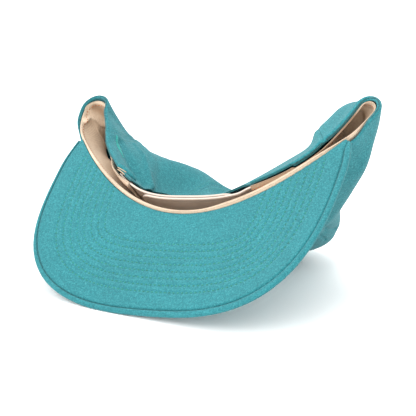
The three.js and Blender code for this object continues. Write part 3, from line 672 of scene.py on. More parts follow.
PANEL_COLUMNS = 72
SIDE_COLUMNS = 96
ARCH_ROWS = 44
TOP_ROWS = 76
SEAM_GROOVE = 0.3
SEAM_GROOVE_WIDTH = 0.9
SEAM_PUFF = 0.15
RIM_ROLL_HEIGHT = 4.5
RIM_ROLL_THICKNESS = 1.1
RIM_ROLL_THICKNESS_RIGHT = 1.9
RIM_ROLL_PLACES = (0.2, 0.25)  # where the thicker edge starts and is full, from the front
RIM_ROLL_AT_STRAP = 0.25  # how much of it is left beside the strap
RIM_ROUNDING = 1.3
SEAM_PUFF_PLACE = 3.2
SEAM_PUFF_WIDTH = 2.2
SEAM_FADE = 0.93  # where the seams' grooves start to fade, of the way up
INNER_ROUNDING = 0.96
LAST_ROW = 0.9995
FINE_RIM_HEIGHTS = (0.2, 0.5, 0.9, 1.5)


def depth_to_v(depth):
    low, high = 0.0, 1.0
    for _ in range(24):
        centre = (low + high) / 2
        if section_at(centre)["depth"] * CROWN_DEPTH < depth:
            low = centre
        else:
            high = centre
    return (low + high) / 2


def arch_half(height):
    share = np.clip(height / ARCH_HEIGHT, 0, 1)
    return ARCH_WIDTH / 2 * (1 - share ** (2 / ARCH_SQUARENESS)) ** (ARCH_SQUARENESS / 2)


crown_rows = [depth_to_v(ARCH_HEIGHT * math.sin(math.pi / 2 * row / ARCH_ROWS) ** ARCH_SQUARENESS)
              for row in range(ARCH_ROWS + 1)]
crown_rows += [mix(crown_rows[-1], 1, row / TOP_ROWS) for row in range(1, TOP_ROWS + 1)]
crown_rows[-1] = LAST_ROW
crown_rows[1:1] = [depth_to_v(height) for height in FINE_RIM_HEIGHTS]

arch_heights = ARCH_HEIGHT * np.sin(np.linspace(0, np.pi / 2, 90)) ** ARCH_SQUARENESS
arch_line = np.stack([arch_half(arch_heights), arch_heights], 1)


def from_arch(side, height):
    """Distance of a place on the cloth from the edge of the opening, in mm."""
    gap = np.hypot(np.abs(side)[..., None] - arch_line[:, 0], height[..., None] - arch_line[:, 1])
    return gap.min(-1)


def rim_roll(around):
    """How much thicker the turned edge of the cloth is on its inner side, away from the brim."""
    from_front = np.minimum(around, 1 - around)
    from_back = np.abs(around - BACK) * girth
    full = np.where(around < BACK, RIM_ROLL_THICKNESS_RIGHT, RIM_ROLL_THICKNESS)
    behind = np.where(from_back < strap_half_span + 2 * STRAP_SEWN_LENGTH, RIM_ROLL_AT_STRAP, 1)
    return full * smoothstep(from_front, *RIM_ROLL_PLACES) * behind


def crown_panel(name, number):
    has_arch = number in (PANELS // 2 - 1, PANELS // 2)
    columns = SIDE_COLUMNS if number % 3 == 1 else PANEL_COLUMNS
    share = np.linspace(0, 1, columns + 1)
    near, arounds = [], []
    for v in crown_rows:
        ring = loop(v)
        gap = SEAM_GAP / 2 / ring["girth"]
        start, end = number / PANELS + gap, (number + 1) / PANELS - gap
        if has_arch:
            half = max(float(arch_half(ring["depth"])) / girth, gap)
            if number < PANELS // 2:
                end = BACK - half
            else:
                start = BACK + half
        around = mix(start, end, share)
        arounds.append(around)
        near.append(folded_row(around, v))
    near = np.array(near)
    arounds = np.array(arounds)
    vs = np.array(crown_rows)[:, None] * np.ones_like(arounds)
    girths = np.array([loop(v)["girth"] for v in crown_rows])[:, None]
    depths = np.array([loop(v)["depth"] for v in crown_rows])[:, None] * np.ones_like(arounds)
    along = np.gradient(near, axis=1)
    upward = np.gradient(near, axis=0)
    outward = unit(np.cross(upward, along))
    outward[0, :, 2] = 0
    outward = unit(outward)
    to_seam = np.minimum(arounds - number / PANELS, (number + 1) / PANELS - arounds) * girths
    if has_arch:
        middle = np.abs(arounds - BACK) * girths
        below = depths < ARCH_HEIGHT
        away = (arounds - number / PANELS) if number < PANELS // 2 else ((number + 1) / PANELS - arounds)
        to_seam = np.where(below, away * girths, np.minimum(away * girths, middle))
    groove = -SEAM_GROOVE * np.exp(-(to_seam / SEAM_GROOVE_WIDTH) ** 2)
    puff = SEAM_PUFF * np.exp(-((to_seam - SEAM_PUFF_PLACE) / SEAM_PUFF_WIDTH) ** 2)
    fade = smoothstep(vs, 1.0, SEAM_FADE)
    edge = depths.copy()
    if has_arch:
        edge = np.minimum(edge, from_arch((arounds - BACK) * girth, depths))
    roll = rim_roll(arounds % 1) * smoothstep(depths, RIM_ROLL_HEIGHT, 0)
    rounding = 1 - np.sqrt(1 - np.clip(1 - edge / RIM_ROUNDING, 0, 1) ** 2)
    thickness = CLOTH_THICKNESS + roll
    creased = ridge_rise(WRINKLES, arounds % 1, vs)
    outer_lift = creased + (groove + puff) * fade - 0.5 * rounding * thickness
    inner_lift = creased - roll + 0.5 * rounding * thickness * INNER_ROUNDING
    far = rest_on_table(near + (CLOTH_THICKNESS + outer_lift)[..., None] * outward, 0)
    near = rest_on_table(near + inner_lift[..., None] * outward, CLOTH_THICKNESS)
    vertices, faces = sheet(near, far)
    piece = new_object(name, vertices, faces, wool)
    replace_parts(piece, name)
    return {"far": far, "outward": outward, "arounds": arounds}


PANEL_NAMES = ["crown_front_right", "crown_side_right", "crown_back_right",
               "crown_back_left", "crown_side_left", "crown_front_left"]
panels = {name: crown_panel(name, number) for number, name in enumerate(PANEL_NAMES)}

STITCH_PITCH = 2.6
SEAM_STITCH_OFFSET = 3.2
SEAM_STITCH_SHARE = 0.72
SEAM_STITCH_RADIUS = 0.2
FIRST_SEAM_ROW = 6
FIRST_ARCH_SEAM_ROW = ARCH_ROWS + 7
crown_stitches = Pile()


def panel_line(name, offset, from_left, first_row, last_row=-6):
    """A line on a panel's outer face at a distance from one of its side seams."""
    panel = panels[name]
    line, normals = [], []
    for row in range(first_row, len(crown_rows) + last_row):
        points = panel["far"][row]
        lengths = lengths_along(points)
        at = offset if from_left else lengths[-1] - offset
        if lengths[-1] < 2 * offset:
            break
        line.append(on_line(lengths, points, at))
        normals.append(on_line(lengths, panel["outward"][row], at))
    return np.array(line), np.array(normals)


for panel_name in PANEL_NAMES:
    for from_left in (True, False):
        at_arch = (panel_name, from_left) in (("crown_back_right", False), ("crown_back_left", True))
        first = FIRST_ARCH_SEAM_ROW if at_arch else FIRST_SEAM_ROW
        line, normals = panel_line(panel_name, SEAM_STITCH_OFFSET, from_left, first_row=first)
        add_stitches(crown_stitches, line, normals, STITCH_PITCH, SEAM_STITCH_SHARE, SEAM_STITCH_RADIUS)

crown_stitches.build("crown_stitching", wool_thread)


def outer_place(around, height, out):
    """A place over the outer face of the crown, and the direction outward there."""
    v = depth_to_v(max(height, 0))
    turn = np.array([around])
    point = folded_row(turn, v)[0]
    outward = outward_row(turn, v)[0]
    point = point + (CLOTH_THICKNESS + out + ridge_rise(WRINKLES, turn, v)[0]) * outward
    return point + np.array([0, 0, min(height, 0)]), outward


def tube(line, radii, sides=10):
    """A round cord through points with a radius at each."""
    line = np.asarray(line, float)
    ahead = unit(np.gradient(line, axis=0))
    side = unit(np.cross(ahead, np.array([0.3, 0.2, 1.0])))
    other = np.cross(ahead, side)
    turn = 2 * np.pi * np.arange(sides) / sides
    rings = [line[i] + radii[i] * (np.cos(turn)[:, None] * side[i] + np.sin(turn)[:, None] * other[i])
             for i in range(len(line))]
    return np.concatenate(rings), tube_faces(len(line), sides)


def smooth_line(points, count):
    """A smooth curve through a few points."""
    points = np.asarray(points, float)
    places = np.arange(len(points))
    at = np.linspace(0, len(points) - 1, count)
    return np.stack([smooth_through(places, points[:, axis], at) for axis in range(3)], 1)


MARK_START = (0.664, 8.0)
MARK_END = (0.631, 11.2)
MARK_STITCHES = 40
MARK_HALF_WIDTH = 1.9


def plain_mark():
    """A plain lens-shaped patch of satin stitches."""
    pile = Pile()
    for number in range(MARK_STITCHES):
        share = (number + 0.5) / MARK_STITCHES
        around = mix(MARK_START[0], MARK_END[0], share)
        height = mix(MARK_START[1], MARK_END[1], share)
        half = MARK_HALF_WIDTH * math.sin(math.pi * share) ** 0.6 * (1 + 0.06 * math.sin(40 * share))
        line, radii = [], []
        for place in (-1, -0.8, 0, 0.8, 1):
            point, _ = outer_place(around, height + place * half, 0.35 * (1 - place ** 4) - 0.1)
            line.append(point)
            radii.append(0.34 if abs(place) < 1 else 0.15)
        pile.add(*tube(line, radii, 6))
    pile.build("plain_mark", bright_thread)


plain_mark()


def loose_ends():
    """The turned corner of the cloth beside the strap and the loose threads at it."""
    corner = BACK + strap_half_span / girth
    roll = smooth_line([outer_place(corner + step, height, out)[0] for step, height, out in
                        ((0.029, -0.6, -0.4), (0.024, 1.2, 0.4), (0.014, 3.6, 0.7), (0.004, 7, 0.2))], 18)
    vertices, faces = tube(roll, np.interp(np.arange(18), (0, 3, 13, 17), (0.9, 1.9, 2.2, 0.9)), 14)
    new_object("turned_corner", vertices, faces, wool)
    pile = Pile()
    for shape in (((0.028, 1, -1.5), (0.024, -1.6, -1.2), (0.017, -1.8, -0.2), (0.013, 0.6, 0.6)),
                  ((0.024, 1, -1.6), (0.021, -2.4, -2.2), (0.015, -3.2, -1.6), (0.008, -2.2, -1.2))):
        line = smooth_line([outer_place(corner + step, height, out)[0] for step, height, out in shape], 16)
        pile.add(*tube(line, np.full(16, 0.28), 7))
    pile.build("loose_threads", pale_thread)


loose_ends()


BUTTON_RINGS = 16
BUTTON_SIDES = 72
BUTTON_CREASE = 0.05


def button():
    """A covered button with six shallow creases."""
    top = np.mean(folded_row(np.arange(12) / 12, 1.0), axis=0)
    base = CROWN_DEPTH + CLOTH_THICKNESS + CLEARANCE
    points = []
    turn = 2 * np.pi * np.arange(BUTTON_SIDES) / BUTTON_SIDES
    for ring in range(BUTTON_RINGS):
        angle = np.pi / 2 * ring / (BUTTON_RINGS - 1)
        crease = 1 - BUTTON_CREASE * np.abs(np.cos(3 * turn)) ** 12
        radius = BUTTON_DIAMETER / 2 * np.cos(angle) ** 0.8 * crease + 0.01
        height = base + BUTTON_HEIGHT * np.sin(angle) ** 0.9 * (0.96 + 0.04 * crease)
        points.append(np.stack([top[0] + radius * np.cos(turn), top[1] + radius * np.sin(turn),
                                np.ones(BUTTON_SIDES) * height], 1))
    faces = tube_faces(BUTTON_RINGS, BUTTON_SIDES)
    return new_object("crown_button_cover", np.concatenate(points), faces, wool)


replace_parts(button(), "crown_button")


# Brim

BRIM_COLUMNS = 240
BRIM_ROWS = 110
STITCH_ROWS = 8
FIRST_STITCH_ROW = 15.5
STITCH_ROW_PITCH = 4.7
BRIM_STITCH_PITCH = 3.0
STITCH_GROOVE = 0.34
STITCH_GROOVE_WIDTH = 0.9
EDGE_GROOVE = 0.85
EDGE_GROOVE_WIDTH = 0.7
EDGE_BULGE = 0.04
EDGE_STEPS = 12
BAND_STEPS = 7
BAND_PUFF = 0.12
BOARD_FACE_HEIGHT = 1.3  # the hidden face that the underside lies against
LOWER_FACE_THICKNESS = 1.0
BRIM_STITCH_SHARE = 0.7
BRIM_STITCH_RADIUS = 0.46


def from_edge(points):
    """Distance of places on the brim from its outer edge, in mm."""
    flat = points.reshape(-1, 3)[:, :2]
    result = np.empty(len(flat))
    for start in range(0, len(flat), 4000):
        block = flat[start:start + 4000]
        gap = np.linalg.norm(block[:, None] - edge_points[None], axis=2)
        result[start:start + 4000] = gap.min(1)
    return result.reshape(points.shape[:-1])


def band_width(across, width):
    return np.minimum(EDGE_BAND_WIDTH * (1 + EDGE_BAND_DRIFT * across), 0.45 * width)


stitch_places = FIRST_STITCH_ROW + STITCH_ROW_PITCH * np.arange(STITCH_ROWS)


def quilted(distance):
    """How far rows of stitches pull the cloth in."""
    depth = np.zeros_like(distance)
    for place in stitch_places:
        depth += STITCH_GROOVE * np.exp(-((distance - place) / STITCH_GROOVE_WIDTH) ** 2)
    return depth


def brim():
    across = np.linspace(-BRIM_END, BRIM_END, BRIM_COLUMNS + 1)
    _, _, width = brim_lines(across)
    radius = BRIM_THICKNESS / 2
    band = band_width(across, width)
    sections = []
    for row in range(BRIM_ROWS):
        inward = mix(width, radius, row / BRIM_ROWS)
        points = brim_place(across, inward, BRIM_THICKNESS)
        points[:, 2] -= quilted(from_edge(points))
        sections.append(points)
    for step in range(EDGE_STEPS + 1):
        angle = math.pi / 2 - math.pi * step / EDGE_STEPS
        bulge = radius * (1 + EDGE_BULGE * math.cos(angle))
        inward = np.full_like(across, radius - bulge * math.cos(angle))
        sections.append(brim_place(across, inward, radius + radius * math.sin(angle)))
    for step in range(1, BAND_STEPS + 1):
        share = step / BAND_STEPS
        points = brim_place(across, mix(radius, band, share), 0.0)
        points[:, 2] += EDGE_GROOVE * share ** 6 - BAND_PUFF * math.sin(math.pi * share)
        sections.append(points)
    sections.append(brim_place(across, band + 0.05, BOARD_FACE_HEIGHT))
    sections.append(brim_place(across, width, BOARD_FACE_HEIGHT))
    sides = len(sections)
    vertices = np.stack(sections, 1).reshape(-1, 3)
    piece = new_object("brim_top_and_edge", vertices, tube_faces(len(across), sides), wool)
    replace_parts(piece, "brim_upper")

    under = [brim_place(across, inward, LOWER_FACE_THICKNESS) for inward in (width, band + 0.3)]
    for row in range(BRIM_ROWS + 1):
        share = (row / BRIM_ROWS) ** 1.15
        points = brim_place(across, mix(band + 0.22, width, share), 0.0)
        distance = from_edge(points)
        rolled = EDGE_GROOVE * np.exp(-((width - band) * share / EDGE_GROOVE_WIDTH) ** 2)
        points[:, 2] += quilted(distance) + rolled
        under.append(points)
    vertices = np.stack(under, 1).reshape(-1, 3)
    piece = new_object("brim_lower_face", vertices, tube_faces(len(across), len(under)), wool)
    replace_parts(piece, "brim_underside")

    stitches = Pile()
    grid = np.stack(under[2:], 0)
    distances = from_edge(grid)
    for place in stitch_places:
        line = []
        for column in range(len(across)):
            ladder = distances[:, column]
            if ladder[-1] > place + 0.6 and ladder[0] < place:
                line.append(on_line(ladder, grid[:, column], place))
        line = np.array(line)
        down = np.tile([0, 0, -1.0], (len(line), 1))
        add_stitches(stitches, line, down, BRIM_STITCH_PITCH, BRIM_STITCH_SHARE, BRIM_STITCH_RADIUS)
    stitches.build("brim_stitching", wool_thread)


brim()


# Sweatband

SWEATBAND_COLUMNS = 420
SWEATBAND_ROWS = 30
SWEATBAND_LEVELS = 25
COLUMN_BUNCHING = 0.4
FRONT_ROLL_PLACES = (0.1, 0.2)  # where the thick roll of the front eases off and ends
ROLL_EXTRA = 1.2
ROLL_EXTRA_PLACES = (0.02, 0.06, 0.17, 0.22)
ROLL_EDGE = (2.5, 6.5)  # where the roll starts to thin out and has, in mm from its edge
ROLL_ROUNDING = 1.3
BAND_STITCH_ROW = 7
BAND_STITCHES = (2.4, 0.66, 0.4)  # pitch, share and radius
BESIDE_STRAP = (0.36, 0.5)
BESIDE_STRAP_ROWS = (4, 10)
BESIDE_STRAP_STITCHES = (2.0, 0.66, 0.36)

# How high above the rim the sweatband starts, round the rim
START_AROUNDS = (0, 0.16, 0.2, 0.25, 0.3, 0.42, 0.58, 0.61, 0.64, 0.7, 0.755, 0.8, 0.84, 1)
START_HEIGHTS = (-1, -1, 0.6, 1.2, 0.3, 0, 0, 2, 4, 4, 1.5, 0.5, -1, -1)

# Creases of the sweatband: around and height where each starts and ends, width and how far it
# bulges inward. Heights, widths and bulges in mm.
SWEATBAND_CREASES = np.array([
    [0.770, 4, 0.705, 22, 2.0, 2.6],
    [0.750, 3, 0.700, 14, 3.4, -1.1],
    [0.285, 6, 0.250, 20, 3.0, 1.4],
    [0.300, 3, 0.420, 6, 2.0, 0.5],
])

# Painted shade in its pockets and shadowed stretches, in the same columns with a share for how dark
SWEATBAND_PAINTED_SHADE = np.array([
    [0.738, 6, 0.705, 16, 4.0, 0.9],
    [0.275, 12, 0.262, 20, 4.0, 0.8],
    [0.300, 3, 0.425, 3, 10.0, 1.0],
    [0.000, 0, 0.200, 0, 5.0, 0.28],
    [0.860, 0, 1.000, 0, 3.0, 0.28],
    [0.220, 2, 0.300, 2, 9.0, 0.35],
    [0.560, 8, 0.600, 12, 14.0, 0.6],
])


def arounds_from_back(right):
    return BACK - right / girth


def horizontal(vectors):
    flat = vectors.copy()
    flat[..., 2] = 0
    return unit(flat)


def past_strap(around):
    """0 over the strap's sewn ends, 1 well past them."""
    from_back = np.abs(around - BACK) * girth
    start = strap_half_span + STRAP_SEWN_LENGTH + SWEATBAND_COVER_LENGTH
    return smoothstep(from_back, start, start + SWEATBAND_EASE_LENGTH)


def near_turn(around):
    """1 at the sharp turns at the sides, 0 away from them."""
    from_turn = np.abs(np.abs(around - BACK) - SIDE_TURN) * girth
    return 1 - smoothstep(from_turn, SWEATBAND_HEIGHT, 2 * SWEATBAND_HEIGHT)


def window(around, places):
    """1 between the two middle places, 0 outside the outer ones."""
    start, full, easing, end = places
    return smoothstep(around, start, full) * (1 - smoothstep(around, easing, end))


def lean_in(around):
    """How far the sweatband's deep edge leans inward."""
    return (SWEATBAND_LEAN_DEPTH * window(around, SWEATBAND_LEAN_PLACES)
            + TIP_LEAN_DEPTH * window(around, TIP_LEAN_PLACES))


def sweatband_inset(around):
    return SWEATBAND_TURN_GAP + (1 - past_strap(around)) * (STRAP_THICKNESS + 2 * CLEARANCE)


def sweatband_follows(around):
    rim = plain_row(around, 0)
    wall = plain_row(around, depth_to_v(SWEATBAND_HEIGHT))
    flare = ((wall - rim) * horizontal(outward_row(around, 0))).sum(-1)
    flared = smoothstep(flare, 2 * CLOTH_THICKNESS, 6 * CLOTH_THICKNESS)
    follows = mix(1, SWEATBAND_FLARE * past_strap(around), flared)
    return mix(follows, 1, near_turn(around))


def creases_at(table, around, height):
    """The sum of a table's soft lines at places of the sweatband."""
    total = np.zeros(np.broadcast(around, height).shape)
    for around0, height0, around1, height1, width, amount in table:
        reach = np.array([(around1 - around0) * girth, height1 - height0])
        place = (around - around0) * girth, height - height0
        share = np.clip((place[0] * reach[0] + place[1] * reach[1]) / (reach @ reach), 0, 1)
        away = np.hypot(place[0] - share * reach[0], place[1] - share * reach[1])
        total += amount * np.exp(-2 * (away / width) ** 2)
    return total


def sweatband():
    end = (strap_half_span - CLEARANCE) / girth
    share = np.linspace(0, 1, SWEATBAND_COLUMNS + 1)
    bunched = share + COLUMN_BUNCHING * np.sin(4 * np.pi * share) / (4 * np.pi)
    around = mix(BACK + end, 1 + BACK - end, bunched) % 1
    inset = sweatband_inset(around)
    follows = sweatband_follows(around)[:, None]
    rim = plain_row(around, 0)
    rim_out = horizontal(outward_row(around, 0))
    over_brim = np.minimum(around, 1 - around) < SIDE_TURN
    bend = np.where(over_brim, curl(rim[:, 0], rim[:, 1]), 0)
    at_front = 1 - smoothstep(np.minimum(around, 1 - around), *FRONT_ROLL_PLACES)
    roll_thickness = mix(SWEATBAND_THICKNESS * 1.3, SWEATBAND_ROLL_THICKNESS, at_front)
    roll_thickness += ROLL_EXTRA * window(around, ROLL_EXTRA_PLACES)

    levels = np.linspace(0, SWEATBAND_HEIGHT, SWEATBAND_LEVELS)
    walls, wall_outs = [], []
    for v in (depth_to_v(level) for level in levels):
        outward = outward_row(around, v)
        dent = np.minimum(ridge_rise(FOLDS, around, v), 0)
        walls.append(plain_row(around, v) + dent[:, None] * outward)
        wall_outs.append(horizontal(outward))
    walls, wall_outs = np.array(walls), np.array(wall_outs)

    def at_height(ladder, height):
        place = np.clip(height, 0, SWEATBAND_HEIGHT) / SWEATBAND_HEIGHT * (len(levels) - 1)
        low = np.minimum(place.astype(int), len(levels) - 2)
        columns = np.arange(len(around))
        return mix(ladder[low, columns], ladder[low + 1, columns], (place - low)[:, None])

    def face(height, depth_in):
        wall = at_height(walls, height)
        wall_out = at_height(wall_outs, height)
        point = mix(rim, wall, follows)
        out = unit(mix(rim_out, wall_out, follows))
        stood_off = inset * smoothstep(height, -SWEATBAND_PROUD_HEIGHT, 2)
        stood_off = np.maximum(stood_off, rim_roll(around) * smoothstep(height, 2 * RIM_ROLL_HEIGHT, 0))
        leans_in = lean_in(around) * smoothstep(height, 0, SWEATBAND_HEIGHT)
        creased = creases_at(SWEATBAND_CREASES, around, height)
        point = point - (stood_off + leans_in + creased + depth_in)[:, None] * out
        point[:, 2] = height - bend
        return point

    outer, inner, painted_shades = [], [], []
    start = np.interp(around, START_AROUNDS, START_HEIGHTS)
    for row in range(SWEATBAND_ROWS + 1):
        height = mix(start, SWEATBAND_HEIGHT, (row / SWEATBAND_ROWS) ** 1.5)
        into_roll = height - start
        # The share of painted shade at each place of this row
        painted_shades.append(np.clip(creases_at(SWEATBAND_PAINTED_SHADE, around, height), 0, 1))
        thick = mix(roll_thickness, SWEATBAND_THICKNESS, smoothstep(into_roll, *ROLL_EDGE))
        rounding = 1 - smoothstep(into_roll, 0, ROLL_ROUNDING)
        outer.append(face(height, 0.3 * rounding * thick))
        inner.append(face(height, thick * (1 - 0.35 * rounding)))
    near, far = np.array(inner), np.array(outer)
    vertices, faces = sheet(near[:, ::-1], far[:, ::-1])
    piece = new_object("sweatband_cloth", vertices, faces, twill)
    painted_light(piece, np.tile(np.array(painted_shades)[:, ::-1].ravel(), 2))
    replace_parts(piece, "sweatband")

    stitches = Pile()
    normals = -horizontal(outward_row(around, 0))
    add_stitches(stitches, near[BAND_STITCH_ROW], normals, *BAND_STITCHES)
    beside_strap = (around > BESIDE_STRAP[0]) & (around < BESIDE_STRAP[1])
    for row in BESIDE_STRAP_ROWS:
        add_stitches(stitches, near[row][beside_strap], normals[beside_strap], *BESIDE_STRAP_STITCHES)
    stitches.build("sweatband_stitching", orange_thread)


sweatband()


# Strap

outer_inset = CLEARANCE
inner_inset = outer_inset + STRAP_THICKNESS + CLEARANCE
round_end_of_right = strap_half_span + STRAP_SEWN_LENGTH - strap_length
first_peg = round_end_of_right + SNAP_PITCH
strap_centre = STRAP_RIM_GAP + STRAP_WIDTH / 2
sewn_at = strap_half_span + STRAP_SEWN_LENGTH
hole_radius = PEG_DIAMETER / 2 + CLEARANCE

END_STEPS = 29
RUN_STEP = 1.5
BORDER_INSETS = (0, 0.5, 1.6, 2.1)  # of the rings that draw the raised border
BORDER_STARTS = (0, 0.5, 1.2, 1.7)  # how near the sewn edge each of them comes
HOLE_SIDES = 20
HOLE_RIM_WIDTH = 0.4
FILL_STEP = 1.6
FILL_HALF = 7.2
FILL_FROM_BORDER = 2.8
FILL_FROM_HOLE = 1.2
BORDER_ROUNDING = 0.28
HOLE_ROUNDING = 0.2
FIELD_DIP = 0.22
SEWN_NARROWING = 0.16
# How much of the painted highlight the strap's rim-side edge gets
EDGE_HIGHLIGHT_SHARE = 0.4
PEG_SIDES = 24
# How far out from the strap each ring of a peg lies, and its radius
PEG_PROFILE = [(-0.3, PEG_DIAMETER / 2 + 0.3), (0.1, PEG_DIAMETER / 2), (1.7, PEG_DIAMETER / 2),
               (1.95, PEG_HEAD_DIAMETER / 2), (2.35, PEG_HEAD_DIAMETER / 2 - 0.15),
               (2.7, PEG_DIAMETER / 2 - 0.4), (2.8, 0.1)]


def strap_points(right, inset, height):
    around = arounds_from_back(right)
    point = plain_row(around, 0)
    out = horizontal(outward_row(around, 0))
    point = point - inset[:, None] * out
    point[:, 2] = height
    return point


def right_inset(right):
    reach = -round_end_of_right
    return mix(inner_inset, outer_inset, smoothstep(right, reach + CLEARANCE, strap_half_span - 1))


def left_inset(right):
    return np.full_like(right, outer_inset)


def circle(centre, radius, sides):
    turn = 2 * np.pi * np.arange(sides) / sides
    return np.stack([centre[0] + radius * np.cos(turn), centre[1] + radius * np.sin(turn)], 1)


def strap_outline(inset):
    """One half of the strap laid flat, from its sewn edge to its round end."""
    half = STRAP_WIDTH / 2 - inset
    straight = strap_length - STRAP_WIDTH / 2
    turn = np.linspace(-np.pi / 2, np.pi / 2, END_STEPS)
    runs = np.arange(0, straight, RUN_STEP)
    return np.concatenate([
        np.stack([runs, np.full_like(runs, -half)], 1),
        np.stack([straight + half * np.cos(turn), half * np.sin(turn)], 1),
        np.stack([runs[::-1], np.full_like(runs, half)], 1),
    ])


def flat_plate(holes):
    """Points and faces of one half of the strap laid flat, with its holes left open."""
    radius = STRAP_WIDTH / 2
    straight = strap_length - radius
    rings = [strap_outline(inset) for inset in BORDER_INSETS]
    for ring, first in zip(rings[1:], BORDER_STARTS[1:]):
        ring[:, 0] = np.maximum(ring[:, 0], first)
    for wider in (0, HOLE_RIM_WIDTH):
        rings += [circle((centre, 0), hole_radius + wider, HOLE_SIDES) for centre in holes]
    fill = [(x, y) for x in np.arange(2.5, strap_length - 2.5, FILL_STEP)
            for y in np.arange(-FILL_HALF, FILL_HALF + 0.1, FILL_STEP)
            if math.hypot(max(x - straight, 0), y) < radius - FILL_FROM_BORDER
            and all(math.hypot(x - centre, y) > PEG_DIAMETER / 2 + FILL_FROM_HOLE for centre in holes)]
    edges, start = [], 0
    for ring in rings:
        edges += [(start + i, start + (i + 1) % len(ring)) for i in range(len(ring))]
        start += len(ring)
    points = [Vector(p) for p in np.concatenate(rings + [np.array(fill)])]
    flat, _, faces, _, _, _ = delaunay_2d_cdt(points, edges, [], 0, 1e-5)
    flat = np.array([tuple(p) for p in flat])
    kept = []
    for face in faces:
        centre = flat[list(face)].mean(0)
        if all(math.hypot(centre[0] - hole, centre[1]) >= hole_radius - 0.02 for hole in holes):
            kept.append(tuple(face))
    return flat, kept


def strap_pegs(side, inset_at, pegs):
    pile = Pile()
    turn = 2 * np.pi * np.arange(PEG_SIDES) / PEG_SIDES
    for peg in pegs:
        right = np.array([side * (sewn_at - peg)])
        base = strap_points(right, inset_at(right), np.array([strap_centre]))[0]
        out = horizontal(outward_row(arounds_from_back(right), 0))[0]
        across = unit(np.cross(out, [0, 0, 1.0]))
        rings = [base + reach * out + size * np.cos(turn)[:, None] * across
                 + size * np.sin(turn)[:, None] * np.array([0, 0, 1.0]) for reach, size in PEG_PROFILE]
        pile.add(np.concatenate(rings), tube_faces(len(rings), PEG_SIDES))
    pile.build("strap_pegs", plastic)


def strap_plate(name, side, inset_at, holes):
    """A plate with a round end and holes, bent along the rim, with a raised border and a painted highlight on
    its rim-side edge.
    """
    flat, kept = flat_plate(holes)
    radius = STRAP_WIDTH / 2
    beyond = np.maximum(flat[:, 0] - (strap_length - radius), 0)
    from_border = np.minimum(radius - np.hypot(beyond, flat[:, 1]), flat[:, 0])
    from_hole = np.full(len(flat), STRAP_WIDTH / 2)
    for hole in holes:
        from_hole = np.minimum(from_hole, np.hypot(flat[:, 0] - hole, flat[:, 1]) - hole_radius)
    rounded = BORDER_ROUNDING * (1 - smoothstep(from_border, 0, 0.45))
    rounded += HOLE_ROUNDING * (1 - smoothstep(from_hole, 0, 0.35))
    dip = FIELD_DIP * smoothstep(from_border, 1.5, 2.2)
    right = side * (sewn_at - flat[:, 0])
    inset = inset_at(right)
    sewn_in = smoothstep(flat[:, 0], STRAP_SEWN_LENGTH, STRAP_SEWN_LENGTH - 3)
    height = strap_centre + flat[:, 1] * (1 - SEWN_NARROWING * sewn_in)
    outer = strap_points(right, inset + rounded, height)
    inner = strap_points(right, inset + STRAP_THICKNESS - rounded - dip, height)
    count = len(flat)
    edges = [(face[i], face[(i + 1) % len(face)]) for face in kept for i in range(len(face))]
    walked = set(edges)
    shell = kept + [tuple(count + i for i in face[::-1]) for face in kept]
    shell += [(b, a, a + count, b + count) for a, b in edges if (b, a) not in walked]
    piece = new_object(name, np.concatenate([outer, inner]), shell, plastic)
    # Painted highlight along the rim-side edge of the strap's border
    painted_light(piece, np.tile(EDGE_HIGHLIGHT_SHARE * (1 - smoothstep(from_border, 0, 0.6)) * (flat[:, 1] < 0), 2))
    work = bmesh.new()
    work.from_mesh(piece.data)
    bmesh.ops.recalc_face_normals(work, faces=work.faces)
    work.to_mesh(piece.data)
    work.free()
    for polygon in piece.data.polygons:
        polygon.use_smooth = True
    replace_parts(piece, name.replace("_plate", ""))


hole_rights = [first_peg + number * SNAP_PITCH for number in range(SNAP_PEGS - SNAP_HOLES, SNAP_PEGS)]
strap_plate("strap_left_plate", -1, left_inset, [sewn_at + place for place in hole_rights])
strap_plate("strap_right_plate", 1, right_inset, [])
strap_pegs(1, right_inset, [sewn_at - (first_peg + number * SNAP_PITCH) for number in range(SNAP_PEGS)])


# Camera, as the photograph sees the cap

CAMERA_IN_BRIM = np.array([470.1, 440.9, -632.1])
CAMERA_AZIMUTH = 24.56
CAMERA_ELEVATION = 15.0
CAMERA_LENS = 125.3
CAMERA_SENSOR_WIDTH = 36

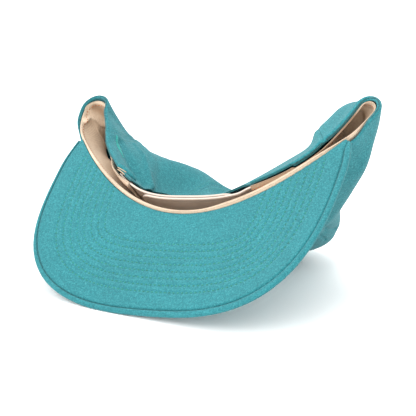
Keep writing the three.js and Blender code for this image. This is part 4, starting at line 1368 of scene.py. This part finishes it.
camera_data = bpy.data.cameras.new("camera")
camera_data.lens = CAMERA_LENS
camera_data.sensor_width = CAMERA_SENSOR_WIDTH
camera_data.sensor_fit = "HORIZONTAL"
camera_data.clip_start = 0.01
camera = bpy.data.objects.new("camera", camera_data)
bpy.context.scene.collection.objects.link(camera)
azimuth = math.radians(CAMERA_AZIMUTH)
elevation = math.radians(CAMERA_ELEVATION)
camera_back = Vector((math.sin(azimuth) * math.cos(elevation), -math.cos(azimuth) * math.cos(elevation),
                      math.sin(elevation)))
camera_right = Vector((math.cos(azimuth), math.sin(azimuth), 0))
camera_up = camera_back.cross(camera_right)
turned = Matrix((camera_right, camera_up, camera_back)).transposed()
camera.matrix_world = Matrix.Translation(Vector(to_row(CAMERA_IN_BRIM))) @ turned.to_4x4()
bpy.context.scene.camera = camera


# Floor and light


def paper_material():
    material, principled = shader("paper", 0.9)
    principled.inputs["Base Color"].default_value = (0.95, 0.95, 0.95, 1)
    principled.inputs["Specular IOR Level"].default_value = 0.1
    grain = noise(material, 300, detail=3)
    bump(material, principled, grain.outputs["Fac"], 0.03, 0.0002)
    return material


def sweep(material):
    """A wide floor that curves up far behind into a backdrop."""
    profile = [(-3.0, 0.0), (1.6, 0.0), (2.1, 0.05), (2.5, 0.25), (2.75, 0.6), (2.85, 1.1), (2.85, 3.5)]
    vertices, faces = [], []
    for y, z in profile:
        vertices += [(-4.0, y, z), (4.0, y, z)]
    for row in range(len(profile) - 1):
        a = 2 * row
        faces.append((a, a + 1, a + 3, a + 2))
    mesh = bpy.data.meshes.new("floor")
    mesh.from_pydata(vertices, [], faces)
    mesh.polygons.foreach_set("use_smooth", [True] * len(mesh.polygons))
    mesh.materials.append(material)
    floor = bpy.data.objects.new("floor", mesh)
    bpy.context.scene.collection.objects.link(floor)
    floor.rotation_euler = (0, 0, azimuth)


sweep(paper_material())


LIGHT_TARGET = (0, 0, 0.05)
WORLD_STRENGTH = 1.8


def area_light(name, place, size, energy):
    data = bpy.data.lights.new(name, "AREA")
    data.shape = "DISK"
    data.size = size
    data.energy = energy
    light = bpy.data.objects.new(name, data)
    bpy.context.scene.collection.objects.link(light)
    light.location = place
    direction = Vector(LIGHT_TARGET) - Vector(place)
    light.rotation_euler = direction.to_track_quat("-Z", "Y").to_euler()


area_light("key", (-0.1, 0.2, 1.5), 0.9, 8)
area_light("fill", (-0.4, -1.3, 0.8), 1.2, 10)

world = bpy.data.worlds.new("studio")
bpy.context.scene.world = world
world.use_nodes = True
world.node_tree.nodes["Background"].inputs["Color"].default_value = (1, 1, 1, 1)
world.node_tree.nodes["Background"].inputs["Strength"].default_value = WORLD_STRENGTH

bpy.context.scene.view_settings.view_transform = "Standard"
